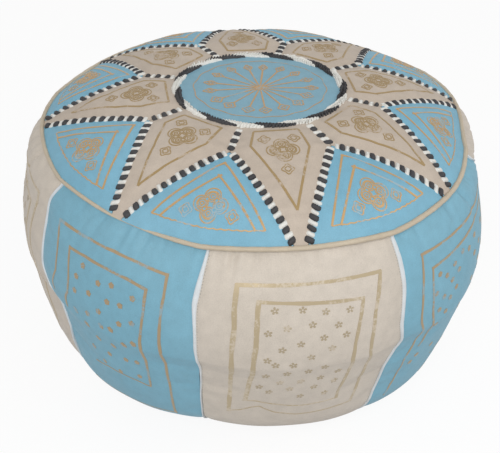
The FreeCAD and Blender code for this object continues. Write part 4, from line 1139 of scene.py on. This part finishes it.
tooth_resin = mottled("zip_tooth_resin", 700, 4, (colour(150, 134, 106), colour(172, 156, 126)),
                      (0.3, 0.7, 0.38, 0.52), 0.15, 0.0002)
slider_brass, tree, shader, where = new_material("zip_brass")
scuff = noise(tree, where, 420, 6, Distortion=2)
tarnish = reach(tree, noise(tree, where, 130, 3), 0.4, 0.7)
feed(tree, shader, {"Base Color": blend(tree, tarnish, colour(186, 150, 86), colour(128, 98, 58)),
                    "Roughness": reach(tree, scuff, 0.3, 0.7, 0.26, 0.48), "Metallic": 1.0})
raised(tree, shader, scuff, 0.2, 0.0002)
for name, material in (("zip_teeth_front", tooth_resin), ("zip_teeth_back", tooth_resin),
                       ("zip_stops", tooth_resin), ("zip_slider", slider_brass), ("zip_pull", slider_brass)):
    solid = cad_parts[name]
    solid.data.materials.clear()
    solid.data.materials.append(material)

# Stuffing: loose textile wadding packed tight into the sewn cover through the zip. It fills the form
# up to the inside of the leather and shows only if the zip is opened.
WAD_GAP = 0.0045
WAD_EDGE = 0.172
WAD_SKIP = 4
wadding = mottled("wadding", 120, 8, (colour(170, 164, 152), colour(226, 221, 210)), (0, 1, 0.85, 1.0),
                  0.8, 0.003, Distortion=3)
under_radius = np.linspace(WAD_EDGE, 0, 24)[None, :]
wad_angle = round_angle[::WAD_SKIP]
under = np.stack([under_radius * np.cos(wad_angle), under_radius * np.sin(wad_angle),
                  base_height(under_radius + 0 * wad_angle) + LEATHER + WAD_GAP], -1)
wad_crown = (crown - crown_normal * WAD_GAP)[::WAD_SKIP, :-4:WAD_SKIP]
wad_side = (side - side_normal * WAD_GAP)[::WAD_SKIP, 6:-8:WAD_SKIP]
wad = np.concatenate([wad_crown, wad_side, under], axis=1)
stuffing = new_piece("stuffing", wad, round_quads(*wad.shape[:2]), wadding, ["filling"],
                     merged=True, turned=True, sharp=False)

# Studio: a pale floor and a white surround, one broad soft lamp to the left of the camera and a
# fill from the right.
FLOOR_SIZE = 6.0
LAMP_TARGET = (0, 0, 0.2)


def seen_directly(tree):
    """1 where the eye looks at the surface, also by a mirror or through glass, and 0 where the surface
    only throws light on others."""
    path = add(tree, "LightPath").outputs
    mirrored = work(tree, "MAXIMUM", path["Is Glossy Ray"], path["Is Transmission Ray"])
    return work(tree, "MAXIMUM", path["Is Camera Ray"], mirrored)


floor_mesh = bpy.data.meshes.new("floor")
corners = FLOOR_SIZE / 2 * np.array(((-1, -1, 0), (1, -1, 0), (1, 1, 0), (-1, 1, 0)))
floor_mesh.from_pydata(corners.tolist(), [], [(0, 1, 2, 3)])
floor = bpy.data.objects.new("floor", floor_mesh)
bpy.context.collection.objects.link(floor)
floor_paint = bpy.data.materials.new("floor_paint")
tree = empty_tree(floor_paint)
seen = seen_directly(tree)
shade = blend(tree, seen, (0.60, 0.60, 0.61, 1), (0.95, 0.95, 0.95, 1))
matt = add(tree, "BsdfDiffuse", {"Color": shade}).outputs[0]
white = add(tree, "Emission", {"Color": (1, 1, 1, 1), "Strength": 1.0}).outputs[0]
lit = work(tree, "MULTIPLY", seen, 0.90)
mixed = add(tree, "MixShader", {0: lit, 1: matt, 2: white}).outputs[0]
add(tree, "OutputMaterial", {"Surface": mixed})
floor_mesh.materials.append(floor_paint)

world = bpy.data.worlds.new("studio")
bpy.context.scene.world = world
tree = empty_tree(world)
bright = reach(tree, seen_directly(tree), 0, 1, 0.50, 1.0)
sky = add(tree, "Background", {"Color": (1, 1, 1, 1), "Strength": bright}).outputs[0]
add(tree, "OutputWorld", {"Surface": sky})


def soft_lamp(name, place, size, power):
    """A square soft lamp that looks at the middle of the pouf."""
    light = bpy.data.lights.new(name, "AREA")
    light.shape = "SQUARE"
    light.size = size
    light.energy = power
    lamp = bpy.data.objects.new(name, light)
    lamp.location = place
    lamp.rotation_euler = (Vector(LAMP_TARGET) - Vector(place)).to_track_quat("-Z", "Y").to_euler()
    bpy.context.collection.objects.link(lamp)


soft_lamp("key", (-0.7, -2.2, 2.1), 1.4, 41)
soft_lamp("fill", (1.9, -1.0, 1.7), 1.6, 14)

# Camera: at the height of someone who stands before the pouf, a little to the left of its front point.
# It looks down at the middle of the pouf and is held slightly askew, as in the photo.
VIEW_TARGET = np.array((0, 0, 0.1463))
VIEW_DISTANCE = 1.156
VIEW_RISE = math.radians(36.09)
VIEW_TURN = math.radians(-10.6)
VIEW_ROLL = math.radians(1.98)
back = np.array((math.sin(VIEW_TURN) * math.cos(VIEW_RISE), -math.cos(VIEW_TURN) * math.cos(VIEW_RISE),
                 math.sin(VIEW_RISE)))
right = np.array((math.cos(VIEW_TURN), math.sin(VIEW_TURN), 0.0))
up = np.cross(back, right)
tilted_right = math.cos(VIEW_ROLL) * right + math.sin(VIEW_ROLL) * up
tilted_up = math.cos(VIEW_ROLL) * up - math.sin(VIEW_ROLL) * right
lens = bpy.data.cameras.new("photo_view")
lens.sensor_width = 36
lens.lens = 66.32
lens.shift_x = -0.0107
lens.shift_y = -0.0028
camera = bpy.data.objects.new("photo_view", lens)
turned = Matrix(np.stack([tilted_right, tilted_up, back], axis=1).tolist()).to_4x4()
camera.matrix_world = Matrix.Translation((VIEW_TARGET + back * VIEW_DISTANCE).tolist()) @ turned
bpy.context.collection.objects.link(camera)
bpy.context.scene.camera = camera
bpy.context.scene.view_settings.view_transform = "Standard"

bpy.context.view_layer.update()
